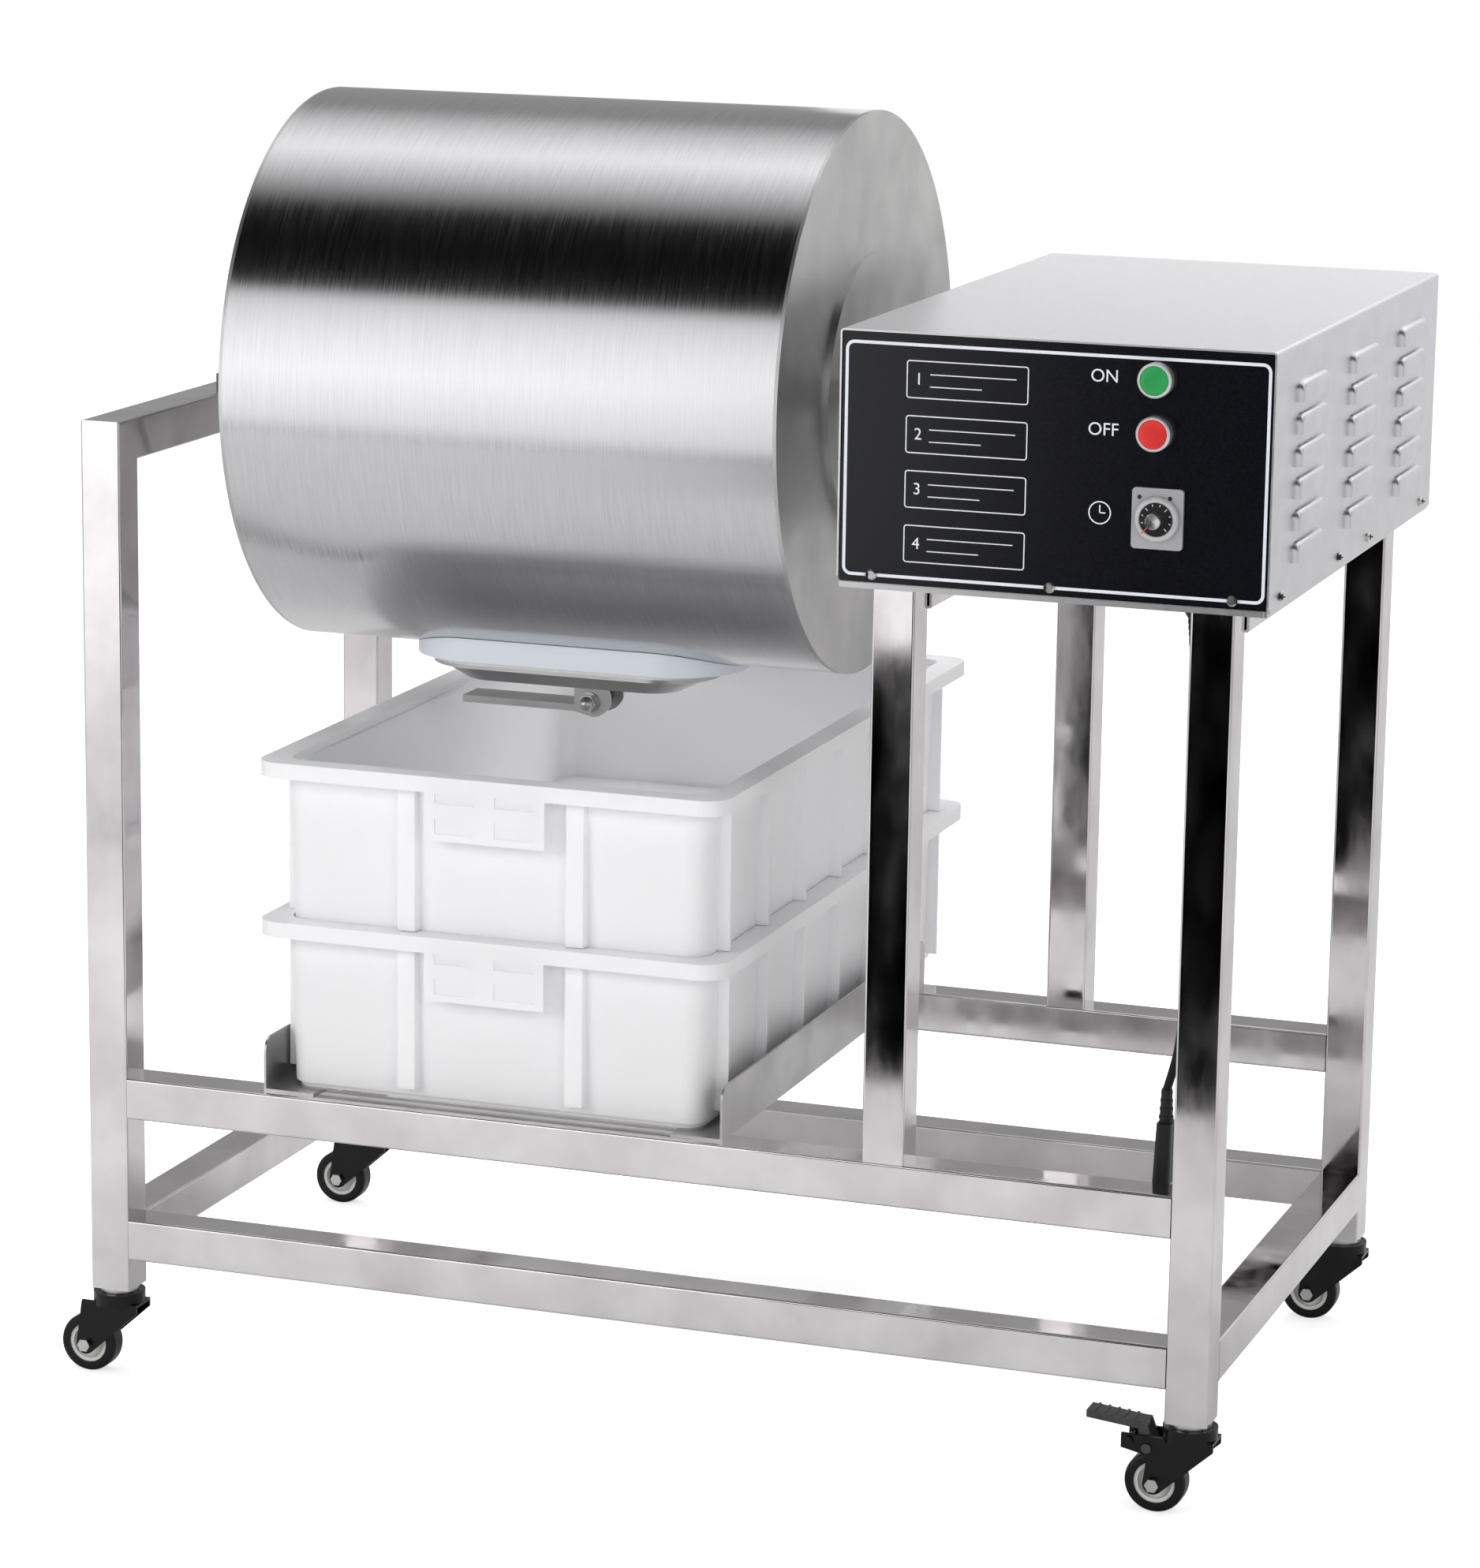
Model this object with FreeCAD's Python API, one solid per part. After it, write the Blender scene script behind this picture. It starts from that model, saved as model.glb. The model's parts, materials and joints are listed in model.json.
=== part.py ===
"""Meat tumbler on casters: a drum with a lidded mouth, its drive box, crates and frame.

Sizes are in millimetres. While the pieces are drawn, X runs along the drum and Y towards the
back, both from the middle of the frame, and Z is the height over the floor. The finished
pieces are moved so that the origin lies on the floor under the middle of the whole machine.
"""
import FreeCAD
import Part
import math
import os
from FreeCAD import Vector

# Clearances
SEAT_GAP = 0.3
RUNNING_FIT = 0.05
SCREW_CLEARANCE = 0.2

# Frame of square tube
TUBE = 35.0
TUBE_WALL = 1.5
TUBE_CORNER = 2.0
FRAME_LENGTH = 975.0
FRAME_WIDTH = 565.0
LOWER_RAIL_TOP = 141.0
MID_RAIL_TOP = 265.0
PORTAL_TOP = 821.0
MIDDLE_LEG_LEFT = 197.0
BEARER_WIDTH = 38.0
BEARER_HEIGHT = 19.0
BEARER_WALL = 2.0

# Crates and their guides
CRATE_WIDTH = 411.4
CRATE_LENGTH = 672.5
CRATE_HEIGHT = 144.8
CRATE_NEST = 10.0
CRATE_WALL = 3.0
CRATE_DRAFT = 4.0
CRATE_CORNER = 22.0
CRATE_FRONT = -276.8
CRATE_CENTRE_X = -131.7
RIM_HEIGHT = 13.0
RIM_WIDTH = 18.0
RIM_THICKNESS = 2.5
STACK_LEDGE = 4.0
CRATE_RIB = 3.0
CRATE_RIB_PITCH = 95.0
PILASTER_X = 74.0
PILASTER_WIDTH = 20.0
PILASTER_DEPTH = 5.0
FOOT_STEP = 4.0
FOOT_WIDTH = 12.0
HANDLE_WIDTH = 105.0
HANDLE_DROP = 40.0
GUIDE_LEG = 45.0
GUIDE_SHEET = 2.0
GUIDE_LEFT = -331.0
GUIDE_RIGHT = 75.0
GUIDE_SETBACK = 11.0
GUIDE_CORNER = 12.0

# Drive box
BOX_LEFT = 168.0
BOX_WIDTH = 346.0
BOX_FRONT = -284.0
BOX_BACK = 295.0
BOX_FLOOR = 730.0
BOX_TOP = 933.0
COVER_SHEET = 1.5
COVER_BEND = 3.0
COVER_PROUD = 1.0
COVER_LIFT = 2.4
COVER_CHAMFER = 6.0
TRAY_SHEET = 2.0
TRAY_STRIP = 5.0
TRAY_FLANGE = 24.0
TRAY_INSET = 4.0
PANEL_SHEET = 1.5
PANEL_GAP = 0.6
LOUVRE_COLUMNS = 3
LOUVRE_ROWS = 6
LOUVRE_LENGTH = 88.0
LOUVRE_HEIGHT = 16.0
LOUVRE_DEPTH = 5.0
LOUVRE_END = 8.0
LOUVRE_FIRST = 69.6
LOUVRE_COLUMN_PITCH = 180.0
LOUVRE_ROW_PITCH = 25.0
LOUVRE_DROP = 30.0
SCREW_SHANK = 1.9
SCREW_HEAD = 4.15
SCREW_HEAD_HEIGHT = 2.4
SCREW_LENGTH = 6.0
SCREW_RISE = 9.0
FRONT_SCREWS = (28.8, 173.0, 317.2)
SIDE_SCREWS = (36.4, 232.9, 336.1, 537.9)

# Controls, measured from the box's left edge and from its lower edge
BUTTON_ACROSS = 253.2
START_HEIGHT = 175.0
STOP_HEIGHT = 134.0
BEZEL_RADIUS = 13.5
BEZEL_HEIGHT = 9.5
BEZEL_SHOULDER = 1.5
BARREL_END = 22.0
BUTTON_RADIUS = 11.3
BUTTON_HEIGHT = 10.2
BUTTON_CAP = 5.2
BUTTON_DOME = 0.5
PLUNGER_RADIUS = 8.5
BUTTON_HOLE = 11.2
TIMER_ACROSS = 257.2
TIMER_HEIGHT = 68.5
TIMER_WIDTH = 40.4
TIMER_TALL = 47.0
TIMER_PLATE = 3.0
TIMER_DEPTH = 30.0
KNOB_RADIUS = 17.5
KNOB_HEIGHT = 15.0
KNOB_CAP_RADIUS = 6.25
SPINDLE_RADIUS = 3.0

# Drum
DRUM_AXIS_Z = 841.9
DRUM_RADIUS = 234.3
DRUM_WALL = 2.0
DRUM_LEFT = -385.4
DRUM_RIGHT = 99.1
END_SHEET = 3.0
END_DISC_RADIUS = 117.0
END_DISC_HEIGHT = 4.0
SHAFT_RADIUS = 15.0
SHAFT_FLANGE_RADIUS = 40.0
SHAFT_FLANGE = 8.0
BAFFLE_HEIGHT = 35.0
BAFFLE_FOOT = 44.0
BAFFLE_TOP = 16.0
BAFFLE_END_GAP = 25.0
SHELF_THICKNESS = 9.0
SHELF_REACH = 22.0
SHELF_LENGTH = 110.0
BEARING_LENGTH = 34.0
BEARING_FOOT = 92.0
BEARING_BOLT_SPREAD = 36.0

# Mouth, its neck and the lid
MOUTH_X = -143.0
NECK_FACE_Z = 605.0
NECK_HALF = (146.0, 90.0)
THROAT_HALF = (118.0, 72.0)
SPIGOT_WALL = 4.0
SPIGOT_RISE = 6.0
NECK_CORNER = 62.0
THROAT_CORNER = 40.0
BRIDGE_WIDTH = 24.0
BRIDGE_BOTTOM = 610.0
BRIDGE_HEIGHT = 12.0
BOSS_RADIUS = 13.0
LID_RIM_HALF = (127.5, 89.5)
LID_TOP_HALF = (122.0, 84.0)
LID_BOTTOM_HALF = (97.0, 72.0)
LID_CORNER = 44.0
LID_BOTTOM_CORNER = 28.0
LID_BOTTOM_Z = 587.0
LID_SHEET = 2.0
RIM_LIP = 3.0
SEAL_THICKNESS = 2.2
SEAL_WIDTH = 5.5
BOLT_RADIUS = 6.0
BOLT_TOP = 628.0
EYE_HALF = 8.0
EYE_THICKNESS = 16.0
PIVOT_X = -141.0
PIVOT_Z = 563.5
PIN_RADIUS = 5.0
LEVER_WIDTH = 33.0
LEVER_SHEET = 2.5
LEVER_END = -258.0
LEVER_TOP = -2.5
LEVER_EDGE = 6.0
EAR_LEFT = 14.0
EAR_RIGHT = 19.0
EAR_DROP = 12.5

# Chain drive inside the box
CHAIN_PITCH = 12.7
CHAIN_LINKS = 40
ROLLER_RADIUS = 3.96
LINK_PLATE = 1.2
LINK_HALF_HEIGHT = 4.2
CHAIN_WIDTH = 8.0
DRUM_TEETH = 24
MOTOR_TEETH = 12
SPROCKET_THICKNESS = 5.0
SPROCKET_X = 205.0
TOOTH_SEAT = 4.5
TOOTH_TIP = 3.0
TOOTH_FLARE = 0.7
HUB_RADIUS = 22.0
MOTOR_HUB_RADIUS = 15.0
PEDESTAL_X = 176.0
PEDESTAL_THICKNESS = 6.0
PEDESTAL_WIDTH = 120.0
PEDESTAL_OVER_AXIS = 45.0
MOTOR_AXIS_Z = 790.0
MOTOR_SHAFT_RADIUS = 8.0
GEARBOX_FACE = 228.0
GEARBOX_LENGTH = 80.0
GEARBOX_WIDTH = 90.0
MOTOR_RADIUS = 46.0
MOTOR_LENGTH = 160.0

# Casters
CASTER_HEIGHT = 78.0
WHEEL_RADIUS = 25.0
WHEEL_WIDTH = 19.0
TYRE_DEPTH = 8.0
CASTER_TRAIL = 26.0
RACE_RADIUS = 22.0
RACE_DISC = 4.0
CROWN_Z = 62.0
CROWN_LEFT = -16.0
FORK_SHEET = 2.5
FORK_SIDE_GAP = 2.0
STUD_RADIUS = 5.0
PLUG_HEIGHT = 20.0
PLUG_SLACK = 0.2
AXLE_RADIUS = 3.0
AXLE_NUT_RADIUS = 5.8
AXLE_NUT_HEIGHT = 4.5
FORK_EYE_RADIUS = 8.5
BRACKET_RIVET = (-47.0, 59.0)
BRACKET_EDGE = 6.0
PEDAL_PIVOT = (-32.0, 54.5)
PEDAL_PIN_RADIUS = 2.5
RIVET_HEAD = 2.0
PEDAL_TIP = -83.0
PEDAL_ROOT = -34.0
PEDAL_WIDTH = 20.0
PEDAL_Z = 68.0
PEDAL_RISE = 5.0
PEDAL_THICKNESS = 6.0
PEDAL_RIDGES = 5
PEDAL_RIDGE_PITCH = 8.0

# Power cord: it leaves the box floor, is folded into a hank and ends in a hanging plug.
# Its places are measured from the axis of the front right leg.
CORD_DIAMETER = 7.0
GLAND_AT = (-30.0, 50.0)
GLAND_TIP_Z = 712.0
GLAND_RADIUS = 9.0
HANK_CENTRE = (-17.0, 50.0)
HANK_LAYERS = 4
HANK_WIDTH = 49.0
HANK_TOP = 581.0
HANK_BOTTOM = 402.0
UPPER_CORD = [(-30.0, 50.0, 712.0), (-29.5, 49.5, 670.0), (-27.0, 48.5, 624.0), (-24.0, 48.0, 580.5)]
LOWER_CORD = [(-24.0, 44.0, 403.0), (-31.0, 39.0, 383.0), (-38.0, 34.5, 359.5), (-37.0, 35.0, 337.0)]
PLUG_TOP_Z = 310.0
PLUG_BOTTOM_Z = 262.0
PLUG_HALF = (7.0, 15.0)
PLUG_PIN_RADIUS = 2.4
PLUG_PIN_LENGTH = 19.0
PLUG_PIN_SPACING = 19.0

# Places that follow from the sizes above
HALF_TUBE = TUBE / 2
LEG_X = FRAME_LENGTH / 2 - HALF_TUBE
LEG_Y = FRAME_WIDTH / 2 - HALF_TUBE
BOX_RIGHT = BOX_LEFT + BOX_WIDTH
COVER_BOTTOM = BOX_FLOOR + COVER_LIFT
CRATE_BACK = CRATE_FRONT + CRATE_LENGTH
CRATE_CENTRE_Y = CRATE_FRONT + CRATE_LENGTH / 2
LOWER_CRATE_Z = MID_RAIL_TOP + GUIDE_SHEET
UPPER_CRATE_Z = LOWER_CRATE_Z + CRATE_HEIGHT - CRATE_NEST
SHELF_TOP = PORTAL_TOP
SHELF_X = -LEG_X + HALF_TUBE + SHELF_REACH

MACHINE_LEFT = -LEG_X - CASTER_TRAIL - WHEEL_RADIUS
MACHINE_RIGHT = BOX_RIGHT + LOUVRE_DEPTH
MACHINE_FRONT = BOX_FRONT - TIMER_PLATE - SEAT_GAP - KNOB_HEIGHT
MACHINE_BACK = CRATE_BACK
TO_ORIGIN = Vector(-(MACHINE_LEFT + MACHINE_RIGHT) / 2, -(MACHINE_FRONT + MACHINE_BACK) / 2, 0)

X_AXIS = Vector(1, 0, 0)
Y_AXIS = Vector(0, 1, 0)
Z_AXIS = Vector(0, 0, 1)


def box(x0, x1, y0, y1, z0, z1):
    return Part.makeBox(x1 - x0, y1 - y0, z1 - z0, Vector(x0, y0, z0))


def rod(radius, start, axis, length):
    return Part.makeCylinder(radius, length, Vector(*start), axis)


def ring(outer, inner, start, axis, length):
    return rod(outer, start, axis, length).cut(rod(inner, start, axis, length))


def direction(degrees):
    angle = math.radians(degrees)
    return Vector(math.cos(angle), math.sin(angle), 0)


def fuse(shapes):
    joined = shapes[0].multiFuse(shapes[1:]) if len(shapes) > 1 else shapes[0]
    return joined.removeSplitter()


def group(shapes):
    """Separate solids that share one node."""
    return Part.makeCompound(shapes)


def mirrored(shape, normal):
    return shape.mirror(Vector(0, 0, 0), normal)


def rounded_wire(half_x, half_y, radius, z=0.0):
    """Rectangle with round corners, centred on the Z axis."""
    arcs = []
    for side_x, side_y, start in ((1, 1, 0), (-1, 1, 90), (-1, -1, 180), (1, -1, 270)):
        centre = Vector(side_x * (half_x - radius), side_y * (half_y - radius), z)
        points = [centre + direction(start + turn) * radius for turn in (0, 45, 90)]
        arcs.append(Part.Arc(*points).toShape())
    edges = []
    for arc, following in zip(arcs, arcs[1:] + arcs[:1]):
        edges.append(arc)
        edges.append(Part.makeLine(arc.lastVertex().Point, following.firstVertex().Point))
    return Part.Wire(edges)


def rounded_prism(half_x, half_y, radius, z0, z1, x=0.0, y=0.0):
    prism = Part.Face(rounded_wire(half_x, half_y, radius, z0)).extrude(Vector(0, 0, z1 - z0))
    return prism.translated(Vector(x, y, 0))


def rounded_loft(lower, upper, x=0.0, y=0.0):
    """Solid between two rounded rectangles, each given as half_x, half_y, radius, z."""
    return Part.makeLoft([rounded_wire(*lower), rounded_wire(*upper)], True, True).translated(Vector(x, y, 0))


def side_profile(points, y, thickness):
    """Plate of the given outline in X and Z, from y towards the back."""
    corners = [Vector(x, y, z) for x, z in points]
    return Part.Face(Part.makePolygon(corners + corners[:1])).extrude(Vector(0, thickness, 0))


def hexagon_prism(radius, start, axis, length):
    """Hexagon nut body along Y or Z, with its flats parallel to X."""
    corners = [direction(60 * corner) * radius for corner in range(7)]
    prism = Part.Face(Part.makePolygon(corners)).extrude(Vector(0, 0, length))
    if axis == Y_AXIS:
        prism.rotate(Vector(0, 0, 0), X_AXIS, -90)
    return prism.translated(Vector(*start))


# ---------------------------------------------------------------- frame

def by_front_right_leg(x, y, z=0.0):
    return Vector(LEG_X + x, y - LEG_Y, z)


def tube_stock(length, half_x=HALF_TUBE, half_y=HALF_TUBE, wall=TUBE_WALL):
    """Rectangular tube along Z from the origin, with rounded outer corners."""
    outer = rounded_prism(half_x, half_y, TUBE_CORNER, 0, length)
    return outer.cut(box(wall - half_x, half_x - wall, wall - half_y, half_y - wall, 0, length))


def upright(x, y, z0, z1):
    return tube_stock(z1 - z0).translated(Vector(x, y, z0))


def beam_x(x0, x1, y, z):
    beam = tube_stock(x1 - x0)
    beam.rotate(Vector(0, 0, 0), Y_AXIS, 90)
    return beam.translated(Vector(x0, y, z))


def beam_y(x, y0, y1, z, half_x=HALF_TUBE, half_z=HALF_TUBE, wall=TUBE_WALL):
    beam = tube_stock(y1 - y0, half_x, half_z, wall)
    beam.rotate(Vector(0, 0, 0), X_AXIS, -90)
    return beam.translated(Vector(x, y0, z))


def mitre_wedge(at_top):
    """Half of the square where the front portal leg meets its top bar, cut along the mitre."""
    outer_y = -LEG_Y - HALF_TUBE
    inner_y = -LEG_Y + HALF_TUBE
    low_z = PORTAL_TOP - TUBE
    tip = (inner_y, PORTAL_TOP) if at_top else (outer_y, low_z)
    outline = [(outer_y, PORTAL_TOP), tip, (inner_y, low_z)]
    corners = [Vector(-LEG_X - TUBE, y, z) for y, z in outline]
    return Part.Face(Part.makePolygon(corners + corners[:1])).extrude(Vector(2 * TUBE, 0, 0))


def portal_legs():
    leg = upright(-LEG_X, -LEG_Y, CASTER_HEIGHT, PORTAL_TOP).cut(mitre_wedge(True))
    return group([leg, mirrored(leg, Y_AXIS)])


def portal_top_bar():
    bar = beam_y(-LEG_X, -FRAME_WIDTH / 2, FRAME_WIDTH / 2, PORTAL_TOP - HALF_TUBE)
    wedge = mitre_wedge(False)
    return bar.cut(wedge).cut(mirrored(wedge, Y_AXIS))


def right_legs():
    return group([upright(LEG_X, side * LEG_Y, CASTER_HEIGHT, BOX_FLOOR) for side in (-1, 1)])


def middle_legs():
    x = MIDDLE_LEG_LEFT + HALF_TUBE
    return group([upright(x, side * LEG_Y, MID_RAIL_TOP, BOX_FLOOR) for side in (-1, 1)])


def long_rails(top):
    """Front and back rails between the corner legs."""
    inner_x = LEG_X - HALF_TUBE
    return [beam_x(-inner_x, inner_x, side * LEG_Y, top - HALF_TUBE) for side in (-1, 1)]


def lower_rails():
    inner_y = LEG_Y - HALF_TUBE
    cross = [beam_y(side * LEG_X, -inner_y, inner_y, LOWER_RAIL_TOP - HALF_TUBE) for side in (-1, 1)]
    return group(long_rails(LOWER_RAIL_TOP) + cross)


def mid_rails():
    return group(long_rails(MID_RAIL_TOP))


def crate_guides():
    """Angles that lie on the mid rails and carry the lower crate at its long sides."""
    half = FRAME_WIDTH / 2 - GUIDE_SETBACK
    top = MID_RAIL_TOP + GUIDE_LEG
    guides = []
    for wall, inward in ((GUIDE_LEFT, 1), (GUIDE_RIGHT, -1)):
        flange_end = wall + inward * GUIDE_LEG
        web_end = wall + inward * GUIDE_SHEET
        flange = box(min(wall, flange_end), max(wall, flange_end), -half, half,
                     MID_RAIL_TOP, MID_RAIL_TOP + GUIDE_SHEET)
        web = box(min(wall, web_end), max(wall, web_end), -half, half, MID_RAIL_TOP, top)
        corners = [edge for edge in web.Edges if edge.BoundBox.ZMin > top - 1 and edge.BoundBox.YLength < 1]
        guides.append(fuse([flange, web.makeFillet(GUIDE_CORNER, corners)]))
    return group(guides)


def box_bearers():
    """Rails between the front and back legs, right under the box floor."""
    half = LEG_Y - HALF_TUBE
    bearers = []
    for left in (MIDDLE_LEG_LEFT, LEG_X - HALF_TUBE):
        bearers.append(beam_y(left + BEARER_WIDTH / 2, -half, half, BOX_FLOOR - BEARER_HEIGHT / 2,
                              BEARER_WIDTH / 2, BEARER_HEIGHT / 2, BEARER_WALL))
    return group(bearers)


def bearing_shelf():
    """Plate welded to the inner side of the portal's top bar, flush with its top."""
    return box(SHELF_X - SHELF_REACH, SHELF_X, -SHELF_LENGTH / 2, SHELF_LENGTH / 2,
               SHELF_TOP - SHELF_THICKNESS, SHELF_TOP)


# ---------------------------------------------------------------- casters

def caster_corners():
    return {"fl": (-LEG_X, -LEG_Y), "fr": (LEG_X, -LEG_Y), "bl": (-LEG_X, LEG_Y), "br": (LEG_X, LEG_Y)}


def caster_stem():
    """Leg plug with the upper race, the swivel stud and the head that holds the fork."""
    half = HALF_TUBE - TUBE_WALL - PLUG_SLACK
    plug = box(-half, half, -half, half, CASTER_HEIGHT, CASTER_HEIGHT + PLUG_HEIGHT)
    race_z = CASTER_HEIGHT - RACE_DISC
    race = rod(RACE_RADIUS - 2 * FORK_SHEET, (0, 0, race_z), Z_AXIS, RACE_DISC)
    head_z = CROWN_Z - SEAT_GAP - FORK_SHEET
    stud = rod(STUD_RADIUS, (0, 0, head_z), Z_AXIS, race_z - head_z)
    head = rod(STUD_RADIUS + FORK_SHEET, (0, 0, head_z), Z_AXIS, FORK_SHEET)
    return fuse([plug, race, stud, head])


def caster_stems():
    return group([caster_stem().translated(Vector(x, y, 0)) for x, y in caster_corners().values()])


def fork_cheek(side):
    """Pressed cheek, wide under the crown and narrow round the axle."""
    inner = WHEEL_WIDTH / 2 + FORK_SIDE_GAP
    y = inner if side > 0 else -inner - FORK_SHEET
    top = CROWN_Z + FORK_SHEET
    axle = Vector(-CASTER_TRAIL, WHEEL_RADIUS, 0)
    lower_right = axle + direction(-50) * FORK_EYE_RADIUS
    lower_left = axle + direction(170) * FORK_EYE_RADIUS
    outline = [(-CASTER_TRAIL - 3, top), (RACE_RADIUS, top), (RACE_RADIUS, CROWN_Z - 2 * FORK_SHEET),
               (lower_right.x, lower_right.y), (lower_left.x, lower_left.y)]
    eye = rod(FORK_EYE_RADIUS, (axle.x, y, axle.y), Y_AXIS, FORK_SHEET)
    return fuse([side_profile(outline, y, FORK_SHEET), eye])


def brake_bracket(side):
    """Extra plate of a braked fork, round the pedal's pivot and a spacer rivet."""
    inner = WHEEL_WIDTH / 2 + FORK_SIDE_GAP
    y = inner if side > 0 else -inner - FORK_SHEET
    edge = BRACKET_EDGE
    rivet_x, rivet_z = BRACKET_RIVET
    pivot_x, pivot_z = PEDAL_PIVOT
    outline = [(rivet_x - edge, rivet_z - edge), (rivet_x - edge, rivet_z + edge),
               (-CASTER_TRAIL, CROWN_Z + FORK_SHEET), (-CASTER_TRAIL, pivot_z - edge), (pivot_x, pivot_z - edge)]
    return side_profile(outline, y, FORK_SHEET)


def caster_fork(braked):
    """Crown, race cup and two cheeks, drawn about the swivel axis."""
    half_y = WHEEL_WIDTH / 2 + FORK_SIDE_GAP + FORK_SHEET
    crown = box(CROWN_LEFT, RACE_RADIUS, -half_y, half_y, CROWN_Z, CROWN_Z + FORK_SHEET)
    cup_top = CASTER_HEIGHT - RACE_DISC - SEAT_GAP
    cup = rod(RACE_RADIUS, (0, 0, CROWN_Z), Z_AXIS, cup_top - CROWN_Z)
    pieces = [crown, cup, fork_cheek(1), fork_cheek(-1)]
    if braked:
        rivet_x, rivet_z = BRACKET_RIVET
        pieces.extend([brake_bracket(1), brake_bracket(-1)])
        pieces.append(rod(PEDAL_PIN_RADIUS, (rivet_x, -half_y, rivet_z), Y_AXIS, 2 * half_y))
        for y in (-half_y - RIVET_HEAD, half_y):
            pieces.append(rod(PEDAL_PIN_RADIUS + 1.5, (rivet_x, y, rivet_z), Y_AXIS, RIVET_HEAD))
    fork = fuse(pieces)
    fork = fork.cut(rod(STUD_RADIUS + RUNNING_FIT, (0, 0, CROWN_Z), Z_AXIS, cup_top - CROWN_Z))
    fork = fork.cut(rod(AXLE_RADIUS + RUNNING_FIT, (-CASTER_TRAIL, -half_y, WHEEL_RADIUS), Y_AXIS, 2 * half_y))
    if braked:
        x, z = PEDAL_PIVOT
        fork = fork.cut(rod(PEDAL_PIN_RADIUS + RUNNING_FIT, (x, -half_y, z), Y_AXIS, 2 * half_y))
    return fork


def caster_bolt():
    """Axle bolt with a hexagon head and a nut outside the cheeks."""
    outer = WHEEL_WIDTH / 2 + FORK_SIDE_GAP + FORK_SHEET
    shank = rod(AXLE_RADIUS, (-CASTER_TRAIL, -outer, WHEEL_RADIUS), Y_AXIS, 2 * outer)
    head = hexagon_prism(AXLE_NUT_RADIUS, (-CASTER_TRAIL, -outer - AXLE_NUT_HEIGHT, WHEEL_RADIUS),
                         Y_AXIS, AXLE_NUT_HEIGHT)
    nut = hexagon_prism(AXLE_NUT_RADIUS, (-CASTER_TRAIL, outer, WHEEL_RADIUS), Y_AXIS, AXLE_NUT_HEIGHT)
    return fuse([shank, head, nut])


def revolved_about_y(points, x, z):
    """Solid turned about a Y line, from radius and y pairs."""
    corners = [Vector(x + radius, y, z) for radius, y in points]
    face = Part.Face(Part.makePolygon(corners + corners[:1]))
    return face.revolve(Vector(x, 0, z), Y_AXIS, 360)


def caster_hub():
    """Moulded wheel centre with a long boss, a thin web and an outer ring."""
    bore = AXLE_RADIUS + RUNNING_FIT
    boss_y = WHEEL_WIDTH / 2 + FORK_SIDE_GAP - SEAT_GAP
    ring_outer = WHEEL_RADIUS - TYRE_DEPTH
    half = WHEEL_WIDTH / 2 - 1.5
    outline = [(bore, -boss_y), (bore + 3.5, -boss_y), (bore + 3.5, -2), (ring_outer - 3, -2),
               (ring_outer - 3, -half), (ring_outer, -half), (ring_outer, half), (ring_outer - 3, half),
               (ring_outer - 3, 2), (bore + 3.5, 2), (bore + 3.5, boss_y), (bore, boss_y)]
    return revolved_about_y(outline, -CASTER_TRAIL, WHEEL_RADIUS)


def caster_tyre():
    """Tyre with a flat tread and rounded shoulders."""
    inner = WHEEL_RADIUS - TYRE_DEPTH
    half = WHEEL_WIDTH / 2
    shoulder = 3.0
    outline = [(inner, -half), (WHEEL_RADIUS - shoulder, -half), (WHEEL_RADIUS - 0.9, 0.9 - half),
               (WHEEL_RADIUS, shoulder - half), (WHEEL_RADIUS, half - shoulder),
               (WHEEL_RADIUS - 0.9, half - 0.9), (WHEEL_RADIUS - shoulder, half), (inner, half)]
    return revolved_about_y(outline, -CASTER_TRAIL, WHEEL_RADIUS)


def brake_pedal():
    """Foot pedal with grip ridges, its lugs and shoe, and the pin in the fork's cheeks."""
    x, z = PEDAL_PIVOT
    half = PEDAL_WIDTH / 2
    top = PEDAL_Z + PEDAL_THICKNESS
    length = PEDAL_ROOT - PEDAL_TIP
    pieces = [side_profile([(PEDAL_TIP, PEDAL_Z + PEDAL_RISE), (PEDAL_ROOT, PEDAL_Z), (PEDAL_ROOT, top),
                            (PEDAL_TIP, top + PEDAL_RISE)], -half, PEDAL_WIDTH)]
    for number in range(PEDAL_RIDGES):
        along = 6 + PEDAL_RIDGE_PITCH * number
        ridge_z = top + PEDAL_RISE * (1 - along / length)
        pieces.append(rod(1.2, (PEDAL_TIP + along, -half, ridge_z), Y_AXIS, PEDAL_WIDTH))
    lug_half = WHEEL_WIDTH / 2 + FORK_SIDE_GAP - SEAT_GAP
    for y in (-lug_half, lug_half - FORK_SHEET):
        pieces.append(side_profile([(PEDAL_ROOT - 6, PEDAL_Z), (PEDAL_ROOT - 6, top), (PEDAL_ROOT, top),
                                    (x + 4, z + 4), (x + 4, z - 2), (x, z - 4), (x - 4, z - 2)], y, FORK_SHEET))
    cheek_outer = WHEEL_WIDTH / 2 + FORK_SIDE_GAP + FORK_SHEET
    pieces.append(rod(PEDAL_PIN_RADIUS, (x, -cheek_outer, z), Y_AXIS, 2 * cheek_outer))
    for y in (-cheek_outer - RIVET_HEAD, cheek_outer):
        pieces.append(rod(PEDAL_PIN_RADIUS + 1.5, (x, y, z), Y_AXIS, RIVET_HEAD))
    return fuse(pieces)


# ---------------------------------------------------------------- crates

def crate_half(axis_length, height_share):
    """Half size of the body's outer wall at a share of the crate's height."""
    return axis_length / 2 - RIM_WIDTH - CRATE_DRAFT * (1 - height_share)


def crate_loft(inset, z0, z1):
    """Tapered block of the body's outer walls, moved inwards by inset."""
    levels = []
    for z in (z0, z1):
        share = z / CRATE_HEIGHT
        radius = CRATE_CORNER - RIM_THICKNESS - inset
        levels.append((crate_half(CRATE_WIDTH, share) - inset, crate_half(CRATE_LENGTH, share) - inset,
                       radius, z))
    return rounded_loft(*levels)


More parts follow.
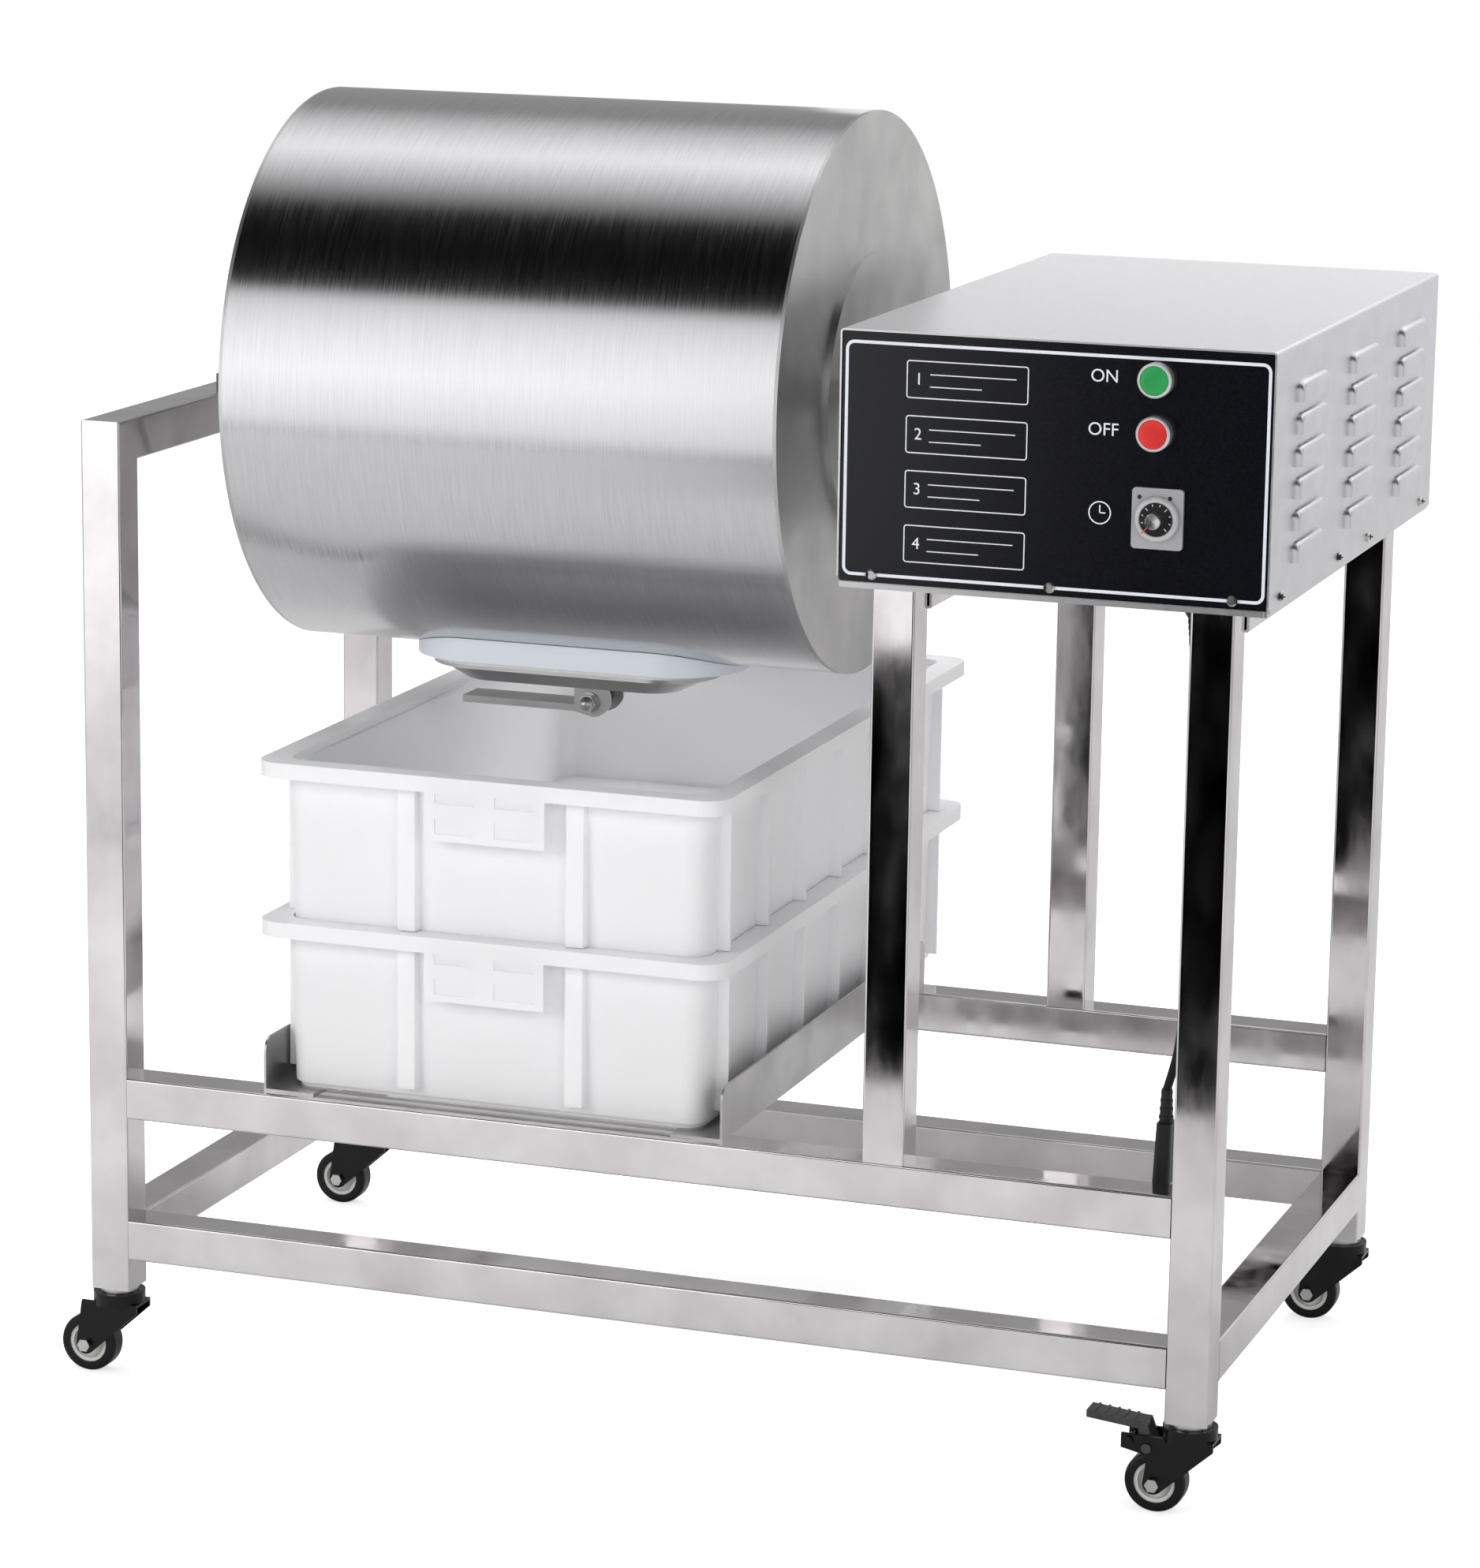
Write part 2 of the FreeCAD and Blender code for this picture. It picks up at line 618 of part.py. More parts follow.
def crate_rim():
    """Outward rim with a down-turned lip."""
    half_x = CRATE_WIDTH / 2
    half_y = CRATE_LENGTH / 2
    outer = rounded_prism(half_x, half_y, CRATE_CORNER, CRATE_HEIGHT - RIM_HEIGHT, CRATE_HEIGHT)
    under = rounded_prism(half_x - RIM_THICKNESS, half_y - RIM_THICKNESS, CRATE_CORNER - RIM_THICKNESS,
                          CRATE_HEIGHT - RIM_HEIGHT, CRATE_HEIGHT - RIM_THICKNESS)
    return outer.cut(under)


def pilaster(x, side, wall_y, low, top):
    """Hollow-looking upright band with sloping flanks on a short end."""
    foot = PILASTER_WIDTH / 2
    crown = foot - PILASTER_DEPTH / 2
    root = side * (wall_y - CRATE_WALL / 2)
    face = side * (wall_y + CRATE_DRAFT + PILASTER_DEPTH)
    corners = [Vector(x - foot, root, low), Vector(x + foot, root, low),
               Vector(x + crown, face, low), Vector(x - crown, face, low)]
    return Part.Face(Part.makePolygon(corners + corners[:1])).extrude(Vector(0, 0, top - low))


def crate_ribs():
    """Upright ribs under the rim on all four sides, clear of the rim of a crate below."""
    low = CRATE_NEST + 2 * SEAT_GAP
    top = CRATE_HEIGHT - RIM_THICKNESS
    reach = RIM_WIDTH - RIM_THICKNESS - 4.0
    pieces = []
    wall_x = crate_half(CRATE_WIDTH, 0)
    wall_y = crate_half(CRATE_LENGTH, 0)
    for side in (-1, 1):
        for x in (-PILASTER_X, PILASTER_X):
            pieces.append(pilaster(x, side, wall_y, low, top))
        count = int(wall_y / CRATE_RIB_PITCH)
        for number in range(-count, count + 1):
            y = number * CRATE_RIB_PITCH
            ends = sorted((side * wall_x, side * (wall_x + reach)))
            pieces.append(box(ends[0], ends[1], y - CRATE_RIB / 2, y + CRATE_RIB / 2, low, top))
    return pieces


def crate_handles():
    """Grip boxes under the rim at the two short ends, open below, with a web across each."""
    pieces = []
    top = CRATE_HEIGHT - RIM_THICKNESS
    low = CRATE_HEIGHT - RIM_HEIGHT - HANDLE_DROP
    wall_y = crate_half(CRATE_LENGTH, 0)
    face = CRATE_LENGTH / 2
    half = HANDLE_WIDTH / 2
    skirt = box(-half, half, face - RIM_THICKNESS, face, low, top)
    for x in (-half, -RIM_THICKNESS / 2, half - RIM_THICKNESS):
        pieces.append(box(x, x + RIM_THICKNESS, wall_y, face, low, top))
    pieces.append(box(-half, half, wall_y, face, (low + top) / 2, (low + top) / 2 + RIM_THICKNESS))
    recess = 1.0
    for x in (-half / 2, half / 2):
        for z in ((3 * low + top) / 4, (low + 3 * top) / 4):
            skirt = skirt.cut(box(x - half / 3, x + half / 3, face - recess, face,
                                  z - HANDLE_DROP / 6, z + HANDLE_DROP / 6))
    pieces.append(skirt)
    return pieces + [mirrored(piece, Y_AXIS) for piece in pieces]


def crate():
    """Stacking crate with its underside at z 0 and its middle on the Z axis."""
    outer = crate_loft(0, FOOT_STEP, CRATE_HEIGHT)
    foot = crate_loft(FOOT_STEP, 0, FOOT_STEP).cut(crate_loft(FOOT_STEP + FOOT_WIDTH, 0, FOOT_STEP))
    body = fuse([outer, foot, crate_rim()] + crate_ribs() + crate_handles())
    inner = crate_loft(CRATE_WALL, FOOT_STEP + CRATE_WALL, CRATE_HEIGHT)
    ledge_top = CRATE_HEIGHT - CRATE_NEST + FOOT_STEP
    ledge = crate_loft(CRATE_WALL / 2, ledge_top - STACK_LEDGE, ledge_top)
    opening = crate_loft(CRATE_WALL + STACK_LEDGE, ledge_top - STACK_LEDGE, ledge_top)
    return body.cut(inner).fuse(ledge.cut(opening)).removeSplitter()


def placed_crate(z):
    return crate().translated(Vector(CRATE_CENTRE_X, CRATE_CENTRE_Y, z))


# ---------------------------------------------------------------- drive box

def screw_height():
    return COVER_BOTTOM + SCREW_RISE


def front_screw_places():
    return [BOX_LEFT + across for across in FRONT_SCREWS]


def side_screw_places():
    return [BOX_FRONT + deep for deep in SIDE_SCREWS]


def screw_holes():
    """Clearance for every panel screw, as one cutter for the sheets and the tray."""
    radius = SCREW_SHANK + SCREW_CLEARANCE
    z = screw_height()
    reach = 2 * SCREW_LENGTH
    cutters = []
    for x in front_screw_places():
        cutters.append(rod(radius, (x, BOX_FRONT - SCREW_LENGTH, z), Y_AXIS, reach))
        cutters.append(rod(radius, (x, BOX_BACK - SCREW_LENGTH, z), Y_AXIS, reach))
    for y in side_screw_places():
        cutters.append(rod(radius, (BOX_LEFT - SCREW_LENGTH, y, z), X_AXIS, reach))
        cutters.append(rod(radius, (BOX_RIGHT - SCREW_LENGTH, y, z), X_AXIS, reach))
    return group(cutters)


def pan_screw():
    """Pan head screw along +Y, with the underside of its head at the origin."""
    outline = [(0, -SCREW_HEAD_HEIGHT), (SCREW_HEAD - 1.2, -SCREW_HEAD_HEIGHT),
               (SCREW_HEAD, -SCREW_HEAD_HEIGHT / 2), (SCREW_HEAD, 0), (SCREW_SHANK, 0),
               (SCREW_SHANK, SCREW_LENGTH), (0, SCREW_LENGTH)]
    return revolved_about_y(outline, 0, 0)


def pan_screws():
    z = screw_height()
    screws = []
    for x in front_screw_places():
        for y, turn in ((BOX_FRONT, 0), (BOX_BACK, 180)):
            screw = pan_screw()
            screw.rotate(Vector(0, 0, 0), Z_AXIS, turn)
            screws.append(screw.translated(Vector(x, y, z)))
    for y in side_screw_places():
        for x, turn in ((BOX_RIGHT, 90), (BOX_LEFT, -90)):
            screw = pan_screw()
            screw.rotate(Vector(0, 0, 0), Z_AXIS, turn)
            screws.append(screw.translated(Vector(x, y, z)))
    return group(screws)


def drive_base():
    """Tray with flanges that the cover and panels screw to, and the bearing pedestal."""
    left = BOX_LEFT + COVER_SHEET
    right = BOX_RIGHT - COVER_SHEET
    front = BOX_FRONT + PANEL_SHEET
    back = BOX_BACK - PANEL_SHEET
    outer = box(left, right, front, back, BOX_FLOOR, BOX_FLOOR + TRAY_FLANGE)
    inner = box(left + TRAY_SHEET, right - TRAY_SHEET, front + TRAY_SHEET, back - TRAY_SHEET,
                BOX_FLOOR + TRAY_SHEET, BOX_FLOOR + TRAY_FLANGE)
    strip = box(BOX_LEFT + TRAY_INSET, BOX_RIGHT - TRAY_INSET, BOX_FRONT, front,
                BOX_FLOOR, BOX_FLOOR + TRAY_STRIP - PANEL_GAP)
    pedestal = box(PEDESTAL_X, PEDESTAL_X + PEDESTAL_THICKNESS, -PEDESTAL_WIDTH / 2, PEDESTAL_WIDTH / 2,
                   BOX_FLOOR + TRAY_SHEET, DRUM_AXIS_Z + PEDESTAL_OVER_AXIS)
    bore = rod(SHAFT_RADIUS + 1, (PEDESTAL_X, 0, DRUM_AXIS_Z), X_AXIS, PEDESTAL_THICKNESS)
    gland = rod(GLAND_RADIUS - 2 + SCREW_CLEARANCE, by_front_right_leg(*GLAND_AT, BOX_FLOOR), Z_AXIS, TRAY_SHEET)
    return fuse([outer.cut(inner), strip, pedestal]).cut(bore).cut(gland).cut(screw_holes())


def louvre_hood(inset):
    """Pressed hood on the X 0 plane: closed at the top, open below, with sloping ends."""
    half = LOUVRE_LENGTH / 2 - inset
    depth = LOUVRE_DEPTH - inset
    top = -inset
    low = -LOUVRE_HEIGHT
    shoulder = half - LOUVRE_END
    back = [Vector(0, -half, low), Vector(0, half, low), Vector(0, shoulder, top), Vector(0, -shoulder, top)]
    lip = [Vector(depth, -shoulder, low), Vector(depth, shoulder, low)]
    faces = [back, [lip[0], lip[1], back[2], back[3]], [back[0], back[1], lip[1], lip[0]],
             [back[0], lip[0], back[3]], [back[1], back[2], lip[1]]]
    shell = Part.makeShell([Part.Face(Part.makePolygon(corners + corners[:1])) for corners in faces])
    hood = Part.makeSolid(shell)
    if hood.Volume < 0:
        hood.reverse()
    return hood


def louvre_places():
    """Middle of each louvre's upper edge, as y and z."""
    for column in range(LOUVRE_COLUMNS):
        y = BOX_FRONT + LOUVRE_FIRST + LOUVRE_LENGTH / 2 + column * LOUVRE_COLUMN_PITCH
        for row in range(LOUVRE_ROWS):
            yield y, BOX_TOP - LOUVRE_DROP - row * LOUVRE_ROW_PITCH


def drive_cover():
    """Folded cover: a plain side to the drum, a louvred side and the top, open at front, back and below."""
    front = BOX_FRONT - COVER_PROUD
    outer = box(BOX_LEFT, BOX_RIGHT, front, BOX_BACK, COVER_BOTTOM, BOX_TOP)
    inner = box(BOX_LEFT + COVER_SHEET, BOX_RIGHT - COVER_SHEET, front, BOX_BACK,
                COVER_BOTTOM, BOX_TOP - COVER_SHEET)
    bends = [edge for edge in outer.Edges
             if abs(edge.BoundBox.ZMin - BOX_TOP) < 1e-6 and edge.BoundBox.YLength > 1]
    inner_bends = [edge for edge in inner.Edges
                   if abs(edge.BoundBox.ZMin - BOX_TOP + COVER_SHEET) < 1e-6 and edge.BoundBox.YLength > 1]
    cover = outer.makeFillet(COVER_BEND, bends).cut(inner.makeFillet(COVER_BEND - COVER_SHEET, inner_bends))
    hoods = []
    slots = []
    for y, z in louvre_places():
        hood = louvre_hood(0).translated(Vector(BOX_RIGHT, y, z))
        slot = louvre_hood(COVER_SHEET).translated(Vector(BOX_RIGHT, y, z))
        slit = box(BOX_RIGHT - 2 * COVER_SHEET, BOX_RIGHT + 0.01, y - LOUVRE_LENGTH / 2 + LOUVRE_END,
                   y + LOUVRE_LENGTH / 2 - LOUVRE_END, z - LOUVRE_HEIGHT, z - LOUVRE_HEIGHT / 2)
        hoods.append(hood)
        slots.extend([slot, slit])
    cover = cover.multiFuse(hoods).cut(group(slots))
    chamfers = []
    for x in (BOX_LEFT, BOX_RIGHT - COVER_SHEET):
        corners = [Vector(x, front, COVER_BOTTOM), Vector(x, front + COVER_CHAMFER, COVER_BOTTOM),
                   Vector(x, front, COVER_BOTTOM + COVER_CHAMFER)]
        face = Part.Face(Part.makePolygon(corners + corners[:1]))
        chamfers.append(face.extrude(Vector(COVER_SHEET, 0, 0)))
    shaft_hole = rod(SHAFT_RADIUS + 6, (BOX_LEFT, 0, DRUM_AXIS_Z), X_AXIS, COVER_SHEET)
    return cover.cut(group(chamfers)).cut(shaft_hole).cut(screw_holes())


def end_panel(front_y):
    inset = COVER_SHEET + PANEL_GAP
    return box(BOX_LEFT + inset, BOX_RIGHT - inset, front_y, front_y + PANEL_SHEET,
               BOX_FLOOR + TRAY_STRIP, BOX_TOP - inset)


def button_centres():
    x = BOX_LEFT + BUTTON_ACROSS
    return [(x, COVER_BOTTOM + START_HEIGHT), (x, COVER_BOTTOM + STOP_HEIGHT)]


def timer_centre():
    return BOX_LEFT + TIMER_ACROSS, COVER_BOTTOM + TIMER_HEIGHT


def control_panel():
    panel = end_panel(BOX_FRONT).cut(screw_holes())
    for x, z in button_centres():
        panel = panel.cut(rod(BUTTON_HOLE + SCREW_CLEARANCE, (x, BOX_FRONT, z), Y_AXIS, PANEL_SHEET))
    x, z = timer_centre()
    half_x = TIMER_WIDTH / 2 - 2 * TIMER_PLATE + SCREW_CLEARANCE
    half_z = TIMER_TALL / 2 - 2 * TIMER_PLATE + SCREW_CLEARANCE
    return panel.cut(box(x - half_x, x + half_x, BOX_FRONT, BOX_FRONT + PANEL_SHEET, z - half_z, z + half_z))


def back_panel():
    return end_panel(BOX_BACK - PANEL_SHEET).cut(screw_holes())


def button_bezels():
    """Ring in front of the panel, its barrel and the nut behind, for each button."""
    cup = BUTTON_RADIUS + 2 * RUNNING_FIT
    bore = PLUNGER_RADIUS + RUNNING_FIT
    nut_end = PANEL_SHEET + 5
    outline = [(cup, -BEZEL_HEIGHT), (BEZEL_RADIUS - 1, -BEZEL_HEIGHT), (BEZEL_RADIUS, 1 - BEZEL_HEIGHT),
               (BEZEL_RADIUS, 0), (BUTTON_HOLE, 0), (BUTTON_HOLE, PANEL_SHEET), (BEZEL_RADIUS, PANEL_SHEET),
               (BEZEL_RADIUS, nut_end), (BUTTON_HOLE, nut_end), (BUTTON_HOLE, BARREL_END), (bore, BARREL_END),
               (bore, -BEZEL_SHOULDER), (cup, -BEZEL_SHOULDER)]
    bezel = revolved_about_y(outline, 0, 0)
    return group([bezel.translated(Vector(x, BOX_FRONT, z)) for x, z in button_centres()])


def push_button(number):
    """Button cap with a slightly domed face, and its thinner plunger in the barrel."""
    x, z = button_centres()[number]
    cap_back = BUTTON_CAP - BUTTON_HEIGHT
    outline = [(0, -BUTTON_HEIGHT), (BUTTON_RADIUS * 0.7, 0.3 * BUTTON_DOME - BUTTON_HEIGHT),
               (BUTTON_RADIUS - BUTTON_DOME, BUTTON_DOME - BUTTON_HEIGHT),
               (BUTTON_RADIUS, 2 * BUTTON_DOME - BUTTON_HEIGHT), (BUTTON_RADIUS, cap_back),
               (PLUNGER_RADIUS, cap_back), (PLUNGER_RADIUS, BARREL_END), (0, BARREL_END)]
    return revolved_about_y(outline, 0, 0).translated(Vector(x, BOX_FRONT, z))


def timer_body():
    """Timer's face plate, the clockwork behind the panel and its spindle."""
    x, z = timer_centre()
    plate = rounded_prism(TIMER_WIDTH / 2, TIMER_TALL / 2, 3, 0, TIMER_PLATE)
    plate.rotate(Vector(0, 0, 0), X_AXIS, 90)
    half_x = TIMER_WIDTH / 2 - 2 * TIMER_PLATE
    half_z = TIMER_TALL / 2 - 2 * TIMER_PLATE
    works = box(-half_x, half_x, 0, TIMER_DEPTH, -half_z, half_z)
    reach = TIMER_PLATE + KNOB_HEIGHT * 0.6
    spindle = rod(SPINDLE_RADIUS, (0, -reach, 0), Y_AXIS, reach)
    return fuse([plate, works, spindle]).translated(Vector(x, BOX_FRONT, z))


def timer_knob():
    """Round knob with a skirt, finger flutes and a flat cap in its face."""
    x, z = timer_centre()
    back = -TIMER_PLATE - SEAT_GAP
    face = back - KNOB_HEIGHT
    grip = KNOB_RADIUS - 3
    outline = [(0, back), (KNOB_RADIUS, back), (KNOB_RADIUS, back - 2.5), (grip, back - 4),
               (grip - 1, face + 1), (grip - 2, face), (0, face)]
    knob = revolved_about_y(outline, 0, 0)
    flutes = []
    for number in range(12):
        centre = direction(15 + 30 * number) * (grip + 1.6)
        flutes.append(rod(2.4, (centre.x, face, centre.y), Y_AXIS, KNOB_HEIGHT - 4.5))
    knob = knob.cut(group(flutes))
    bore = rod(SPINDLE_RADIUS + RUNNING_FIT, (0, back - KNOB_HEIGHT * 0.6 - 1, 0), Y_AXIS, KNOB_HEIGHT * 0.6 + 1)
    groove = ring(KNOB_CAP_RADIUS + 0.5, KNOB_CAP_RADIUS, (0, face, 0), Y_AXIS, 1)
    return knob.cut(bore).cut(groove).translated(Vector(x, BOX_FRONT, z))


# ---------------------------------------------------------------- drum

def drum_axis_at(x):
    return (x, 0, DRUM_AXIS_Z)


def neck_block(half, corner, top):
    """Upright rounded block on the mouth's centre, from the neck's face to top."""
    return rounded_prism(half[0], half[1], corner, NECK_FACE_Z, top, MOUTH_X, 0)


def spigot_half():
    return THROAT_HALF[0] + SPIGOT_WALL, THROAT_HALF[1] + SPIGOT_WALL


def drum_shell():
    """Rolled shell with the mouth cut in its lower side."""
    length = DRUM_RIGHT - DRUM_LEFT - 2 * END_SHEET
    shell = ring(DRUM_RADIUS, DRUM_RADIUS - DRUM_WALL, drum_axis_at(DRUM_LEFT + END_SHEET), X_AXIS, length)
    half = [size + SEAT_GAP for size in spigot_half()]
    return shell.cut(neck_block(half, THROAT_CORNER + SPIGOT_WALL, DRUM_AXIS_Z))


def drum_ends():
    """Flat end plates, each with a raised disc that stiffens it round the shaft."""
    ends = []
    for face, outward in ((DRUM_LEFT, -1), (DRUM_RIGHT, 1)):
        plate_x = face if outward < 0 else face - END_SHEET
        disc_x = face - END_DISC_HEIGHT if outward < 0 else face
        ends.append(fuse([rod(DRUM_RADIUS, drum_axis_at(plate_x), X_AXIS, END_SHEET),
                          rod(END_DISC_RADIUS, drum_axis_at(disc_x), X_AXIS, END_DISC_HEIGHT)]))
    return group(ends)


def drum_shafts():
    """Stub shafts with welded flanges: one into the box, one over the portal's bar."""
    sprocket_end = SPROCKET_X + SPROCKET_THICKNESS + 10
    right = DRUM_RIGHT + END_DISC_HEIGHT
    left = DRUM_LEFT - END_DISC_HEIGHT
    bar_x = -LEG_X - HALF_TUBE
    drive = fuse([rod(SHAFT_FLANGE_RADIUS, drum_axis_at(right), X_AXIS, SHAFT_FLANGE),
                  rod(SHAFT_RADIUS, drum_axis_at(right), X_AXIS, sprocket_end - right)])
    idle = fuse([rod(SHAFT_FLANGE_RADIUS, drum_axis_at(left - SHAFT_FLANGE), X_AXIS, SHAFT_FLANGE),
                 rod(SHAFT_RADIUS, drum_axis_at(bar_x), X_AXIS, left - bar_x)])
    return group([drive, idle])


def drum_baffles():
    """Three lifting vanes along the wall, a quarter turn apart, away from the mouth."""
    inner = DRUM_RADIUS - DRUM_WALL - SEAT_GAP / 3
    x0 = DRUM_LEFT + BAFFLE_END_GAP
    length = DRUM_RIGHT - BAFFLE_END_GAP - x0
    outline = [(inner + 5, -BAFFLE_FOOT / 2), (inner + 5, BAFFLE_FOOT / 2),
               (inner - BAFFLE_HEIGHT, BAFFLE_TOP / 2), (inner - BAFFLE_HEIGHT, -BAFFLE_TOP / 2)]
    corners = [Vector(x0, across, out) for out, across in outline]
    vane = Part.Face(Part.makePolygon(corners + corners[:1])).extrude(Vector(length, 0, 0))
    vane = vane.common(rod(inner, (x0, 0, 0), X_AXIS, length))
    vanes = []
    for turn in (-90, 0, 90):
        turned = vane.copy()
        turned.rotate(Vector(0, 0, 0), X_AXIS, turn)
        vanes.append(turned.translated(Vector(0, 0, DRUM_AXIS_Z)))
    return group(vanes)


def mouth_neck():
    """Moulded neck: a flat sealing flange under the drum and a spigot through its wall."""
    flange = neck_block(NECK_HALF, NECK_CORNER, DRUM_AXIS_Z - DRUM_RADIUS / 2)
    length = DRUM_RIGHT - DRUM_LEFT
    flange = flange.cut(rod(DRUM_RADIUS + SEAT_GAP, drum_axis_at(DRUM_LEFT), X_AXIS, length))
    spigot = neck_block(spigot_half(), THROAT_CORNER + SPIGOT_WALL, DRUM_AXIS_Z - DRUM_RADIUS / 2)
    inner_radius = DRUM_RADIUS - DRUM_WALL - SPIGOT_RISE
    spigot = spigot.cut(rod(inner_radius, drum_axis_at(DRUM_LEFT), X_AXIS, length))
    throat = neck_block(THROAT_HALF, THROAT_CORNER, DRUM_AXIS_Z)
    return fuse([flange, spigot]).cut(throat)


def neck_bridge():
    """Bar across the throat whose boss takes the lid's draw bolt."""
    half = BRIDGE_WIDTH / 2
    top = BRIDGE_BOTTOM + BRIDGE_HEIGHT
    boss_z = NECK_FACE_Z + 2
    bar = box(MOUTH_X - half, MOUTH_X + half, -THROAT_HALF[1], THROAT_HALF[1], BRIDGE_BOTTOM, top)
    boss = rod(BOSS_RADIUS, (PIVOT_X, 0, boss_z), Z_AXIS, top - boss_z)
    bore = rod(BOLT_RADIUS + RUNNING_FIT, (PIVOT_X, 0, boss_z), Z_AXIS, top - boss_z)
    return fuse([bar, boss]).cut(bore)


# ---------------------------------------------------------------- lid

def lid_rim_z():
    """Top of the lid's rim, under the seal."""
    return NECK_FACE_Z - SEAT_GAP - SEAL_THICKNESS


def lid():
    """Pressed pan with sloping sides and a rim that carries the seal."""
    rim_top = lid_rim_z()
    wall_top = rim_top - RIM_LIP
    pan = rounded_loft((*LID_BOTTOM_HALF, LID_BOTTOM_CORNER, LID_BOTTOM_Z), (*LID_TOP_HALF, LID_CORNER, wall_top),
                       MOUTH_X)
    rim = rounded_prism(*LID_RIM_HALF, LID_CORNER + 5, wall_top, rim_top, MOUTH_X)
    inner_bottom = [size - LID_SHEET for size in LID_BOTTOM_HALF]
    inner_top = [size - LID_SHEET for size in LID_TOP_HALF]
    hollow = rounded_loft((*inner_bottom, LID_BOTTOM_CORNER - LID_SHEET, LID_BOTTOM_Z + LID_SHEET),
                          (*inner_top, LID_CORNER - LID_SHEET, rim_top), MOUTH_X)
    hole = rod(BOLT_RADIUS + RUNNING_FIT, (PIVOT_X, 0, LID_BOTTOM_Z), Z_AXIS, LID_SHEET)
    return fuse([pan, rim]).cut(hollow).cut(hole)


def lid_seal():
    """Flat rubber ring between the lid's rim and the neck."""
    z0 = lid_rim_z()
    z1 = z0 + SEAL_THICKNESS
    outer = rounded_prism(*[size - 0.5 for size in LID_RIM_HALF], LID_CORNER + 4, z0, z1, MOUTH_X)
    inner = rounded_prism(*[size - SEAL_WIDTH - 0.5 for size in LID_RIM_HALF], LID_CORNER - 1, z0, z1, MOUTH_X)
    return outer.cut(inner)


def draw_bolt():
    """Bolt that pulls the lid against the neck, with a flat eye for the lever's pin."""
    half = EYE_THICKNESS / 2
    eye = fuse([rod(EYE_HALF, (PIVOT_X, -half, PIVOT_Z), Y_AXIS, EYE_THICKNESS),
                box(PIVOT_X - EYE_HALF, PIVOT_X + EYE_HALF, -half, half, PIVOT_Z,
                    LID_BOTTOM_Z - 2 * LID_SHEET)])
    eye_top = LID_BOTTOM_Z - 2 * LID_SHEET
    shank = rod(BOLT_RADIUS, (PIVOT_X, 0, eye_top), Z_AXIS, BOLT_TOP - eye_top)
    collar = rod(BOLT_RADIUS + 4, (PIVOT_X, 0, eye_top), Z_AXIS, LID_BOTTOM_Z - eye_top)
    hole = rod(PIN_RADIUS + RUNNING_FIT, (PIVOT_X, -half, PIVOT_Z), Y_AXIS, EYE_THICKNESS)
    return fuse([eye, shank, collar]).cut(hole)


def lever_pin():
    """Cross bolt of the cam lever: a hexagon head at the back, a domed nut in front."""
    half = LEVER_WIDTH / 2 + SEAT_GAP
    shank = rod(PIN_RADIUS, (PIVOT_X, -half, PIVOT_Z), Y_AXIS, 2 * half)
    washer = rod(9, (PIVOT_X, -half - 1.2, PIVOT_Z), Y_AXIS, 1.2)
    nut = hexagon_prism(8.2, (PIVOT_X, -half - 7.2, PIVOT_Z), Y_AXIS, 6)
    dome = Part.makeSphere(6.4, Vector(PIVOT_X, -half - 7.2, PIVOT_Z))
    head = hexagon_prism(8.2, (PIVOT_X, half, PIVOT_Z), Y_AXIS, 5.5)
    return fuse([shank, washer, nut, dome, head])


def lever_ear(y):
    """Side plate of the lever: flat on top where it bears on the lid, round elsewhere."""
    rise = LID_BOTTOM_Z - SEAT_GAP - PIVOT_Z
    left_top = Vector(-EAR_LEFT, 0, rise)
    crest = Vector(0, 0, rise)
    right = Vector(EAR_RIGHT, 0, 0)
    bottom = Vector(3, 0, -EAR_DROP)
    left_bottom = Vector(-EAR_LEFT, 0, LEVER_TOP - LEVER_EDGE)
    edges = [Part.makeLine(left_top, crest),
             Part.Arc(crest, Vector(EAR_RIGHT * 0.76, 0, rise * 0.68), right).toShape(),
             Part.Arc(right, Vector(EAR_RIGHT * 0.7, 0, -EAR_DROP * 0.68), bottom).toShape(),
             Part.makeLine(bottom, left_bottom),
             Part.makeLine(left_bottom, left_top)]
    plate = Part.Face(Part.Wire(edges)).extrude(Vector(0, LEVER_SHEET, 0))
    return plate.translated(Vector(PIVOT_X, y, PIVOT_Z))


def cam_lever():
    """Channel-shaped handle with down-turned edges that widen into the two ears."""
    half = LEVER_WIDTH / 2
    top = PIVOT_Z + LEVER_TOP
    low = top - LEVER_EDGE
    root = PIVOT_X - EAR_LEFT
    grip = box(LEVER_END, root + 5, -half, half, top - LEVER_SHEET, top)
    pieces = [grip]
    for y in (-half, half - LEVER_SHEET):
        pieces.append(box(LEVER_END, root + 1, y, y + LEVER_SHEET, low, top))
        pieces.append(lever_ear(y))
    hole = rod(PIN_RADIUS + RUNNING_FIT, (PIVOT_X, -half, PIVOT_Z), Y_AXIS, 2 * half)
    return fuse(pieces).cut(hole)


# ---------------------------------------------------------------- bearings and chain drive

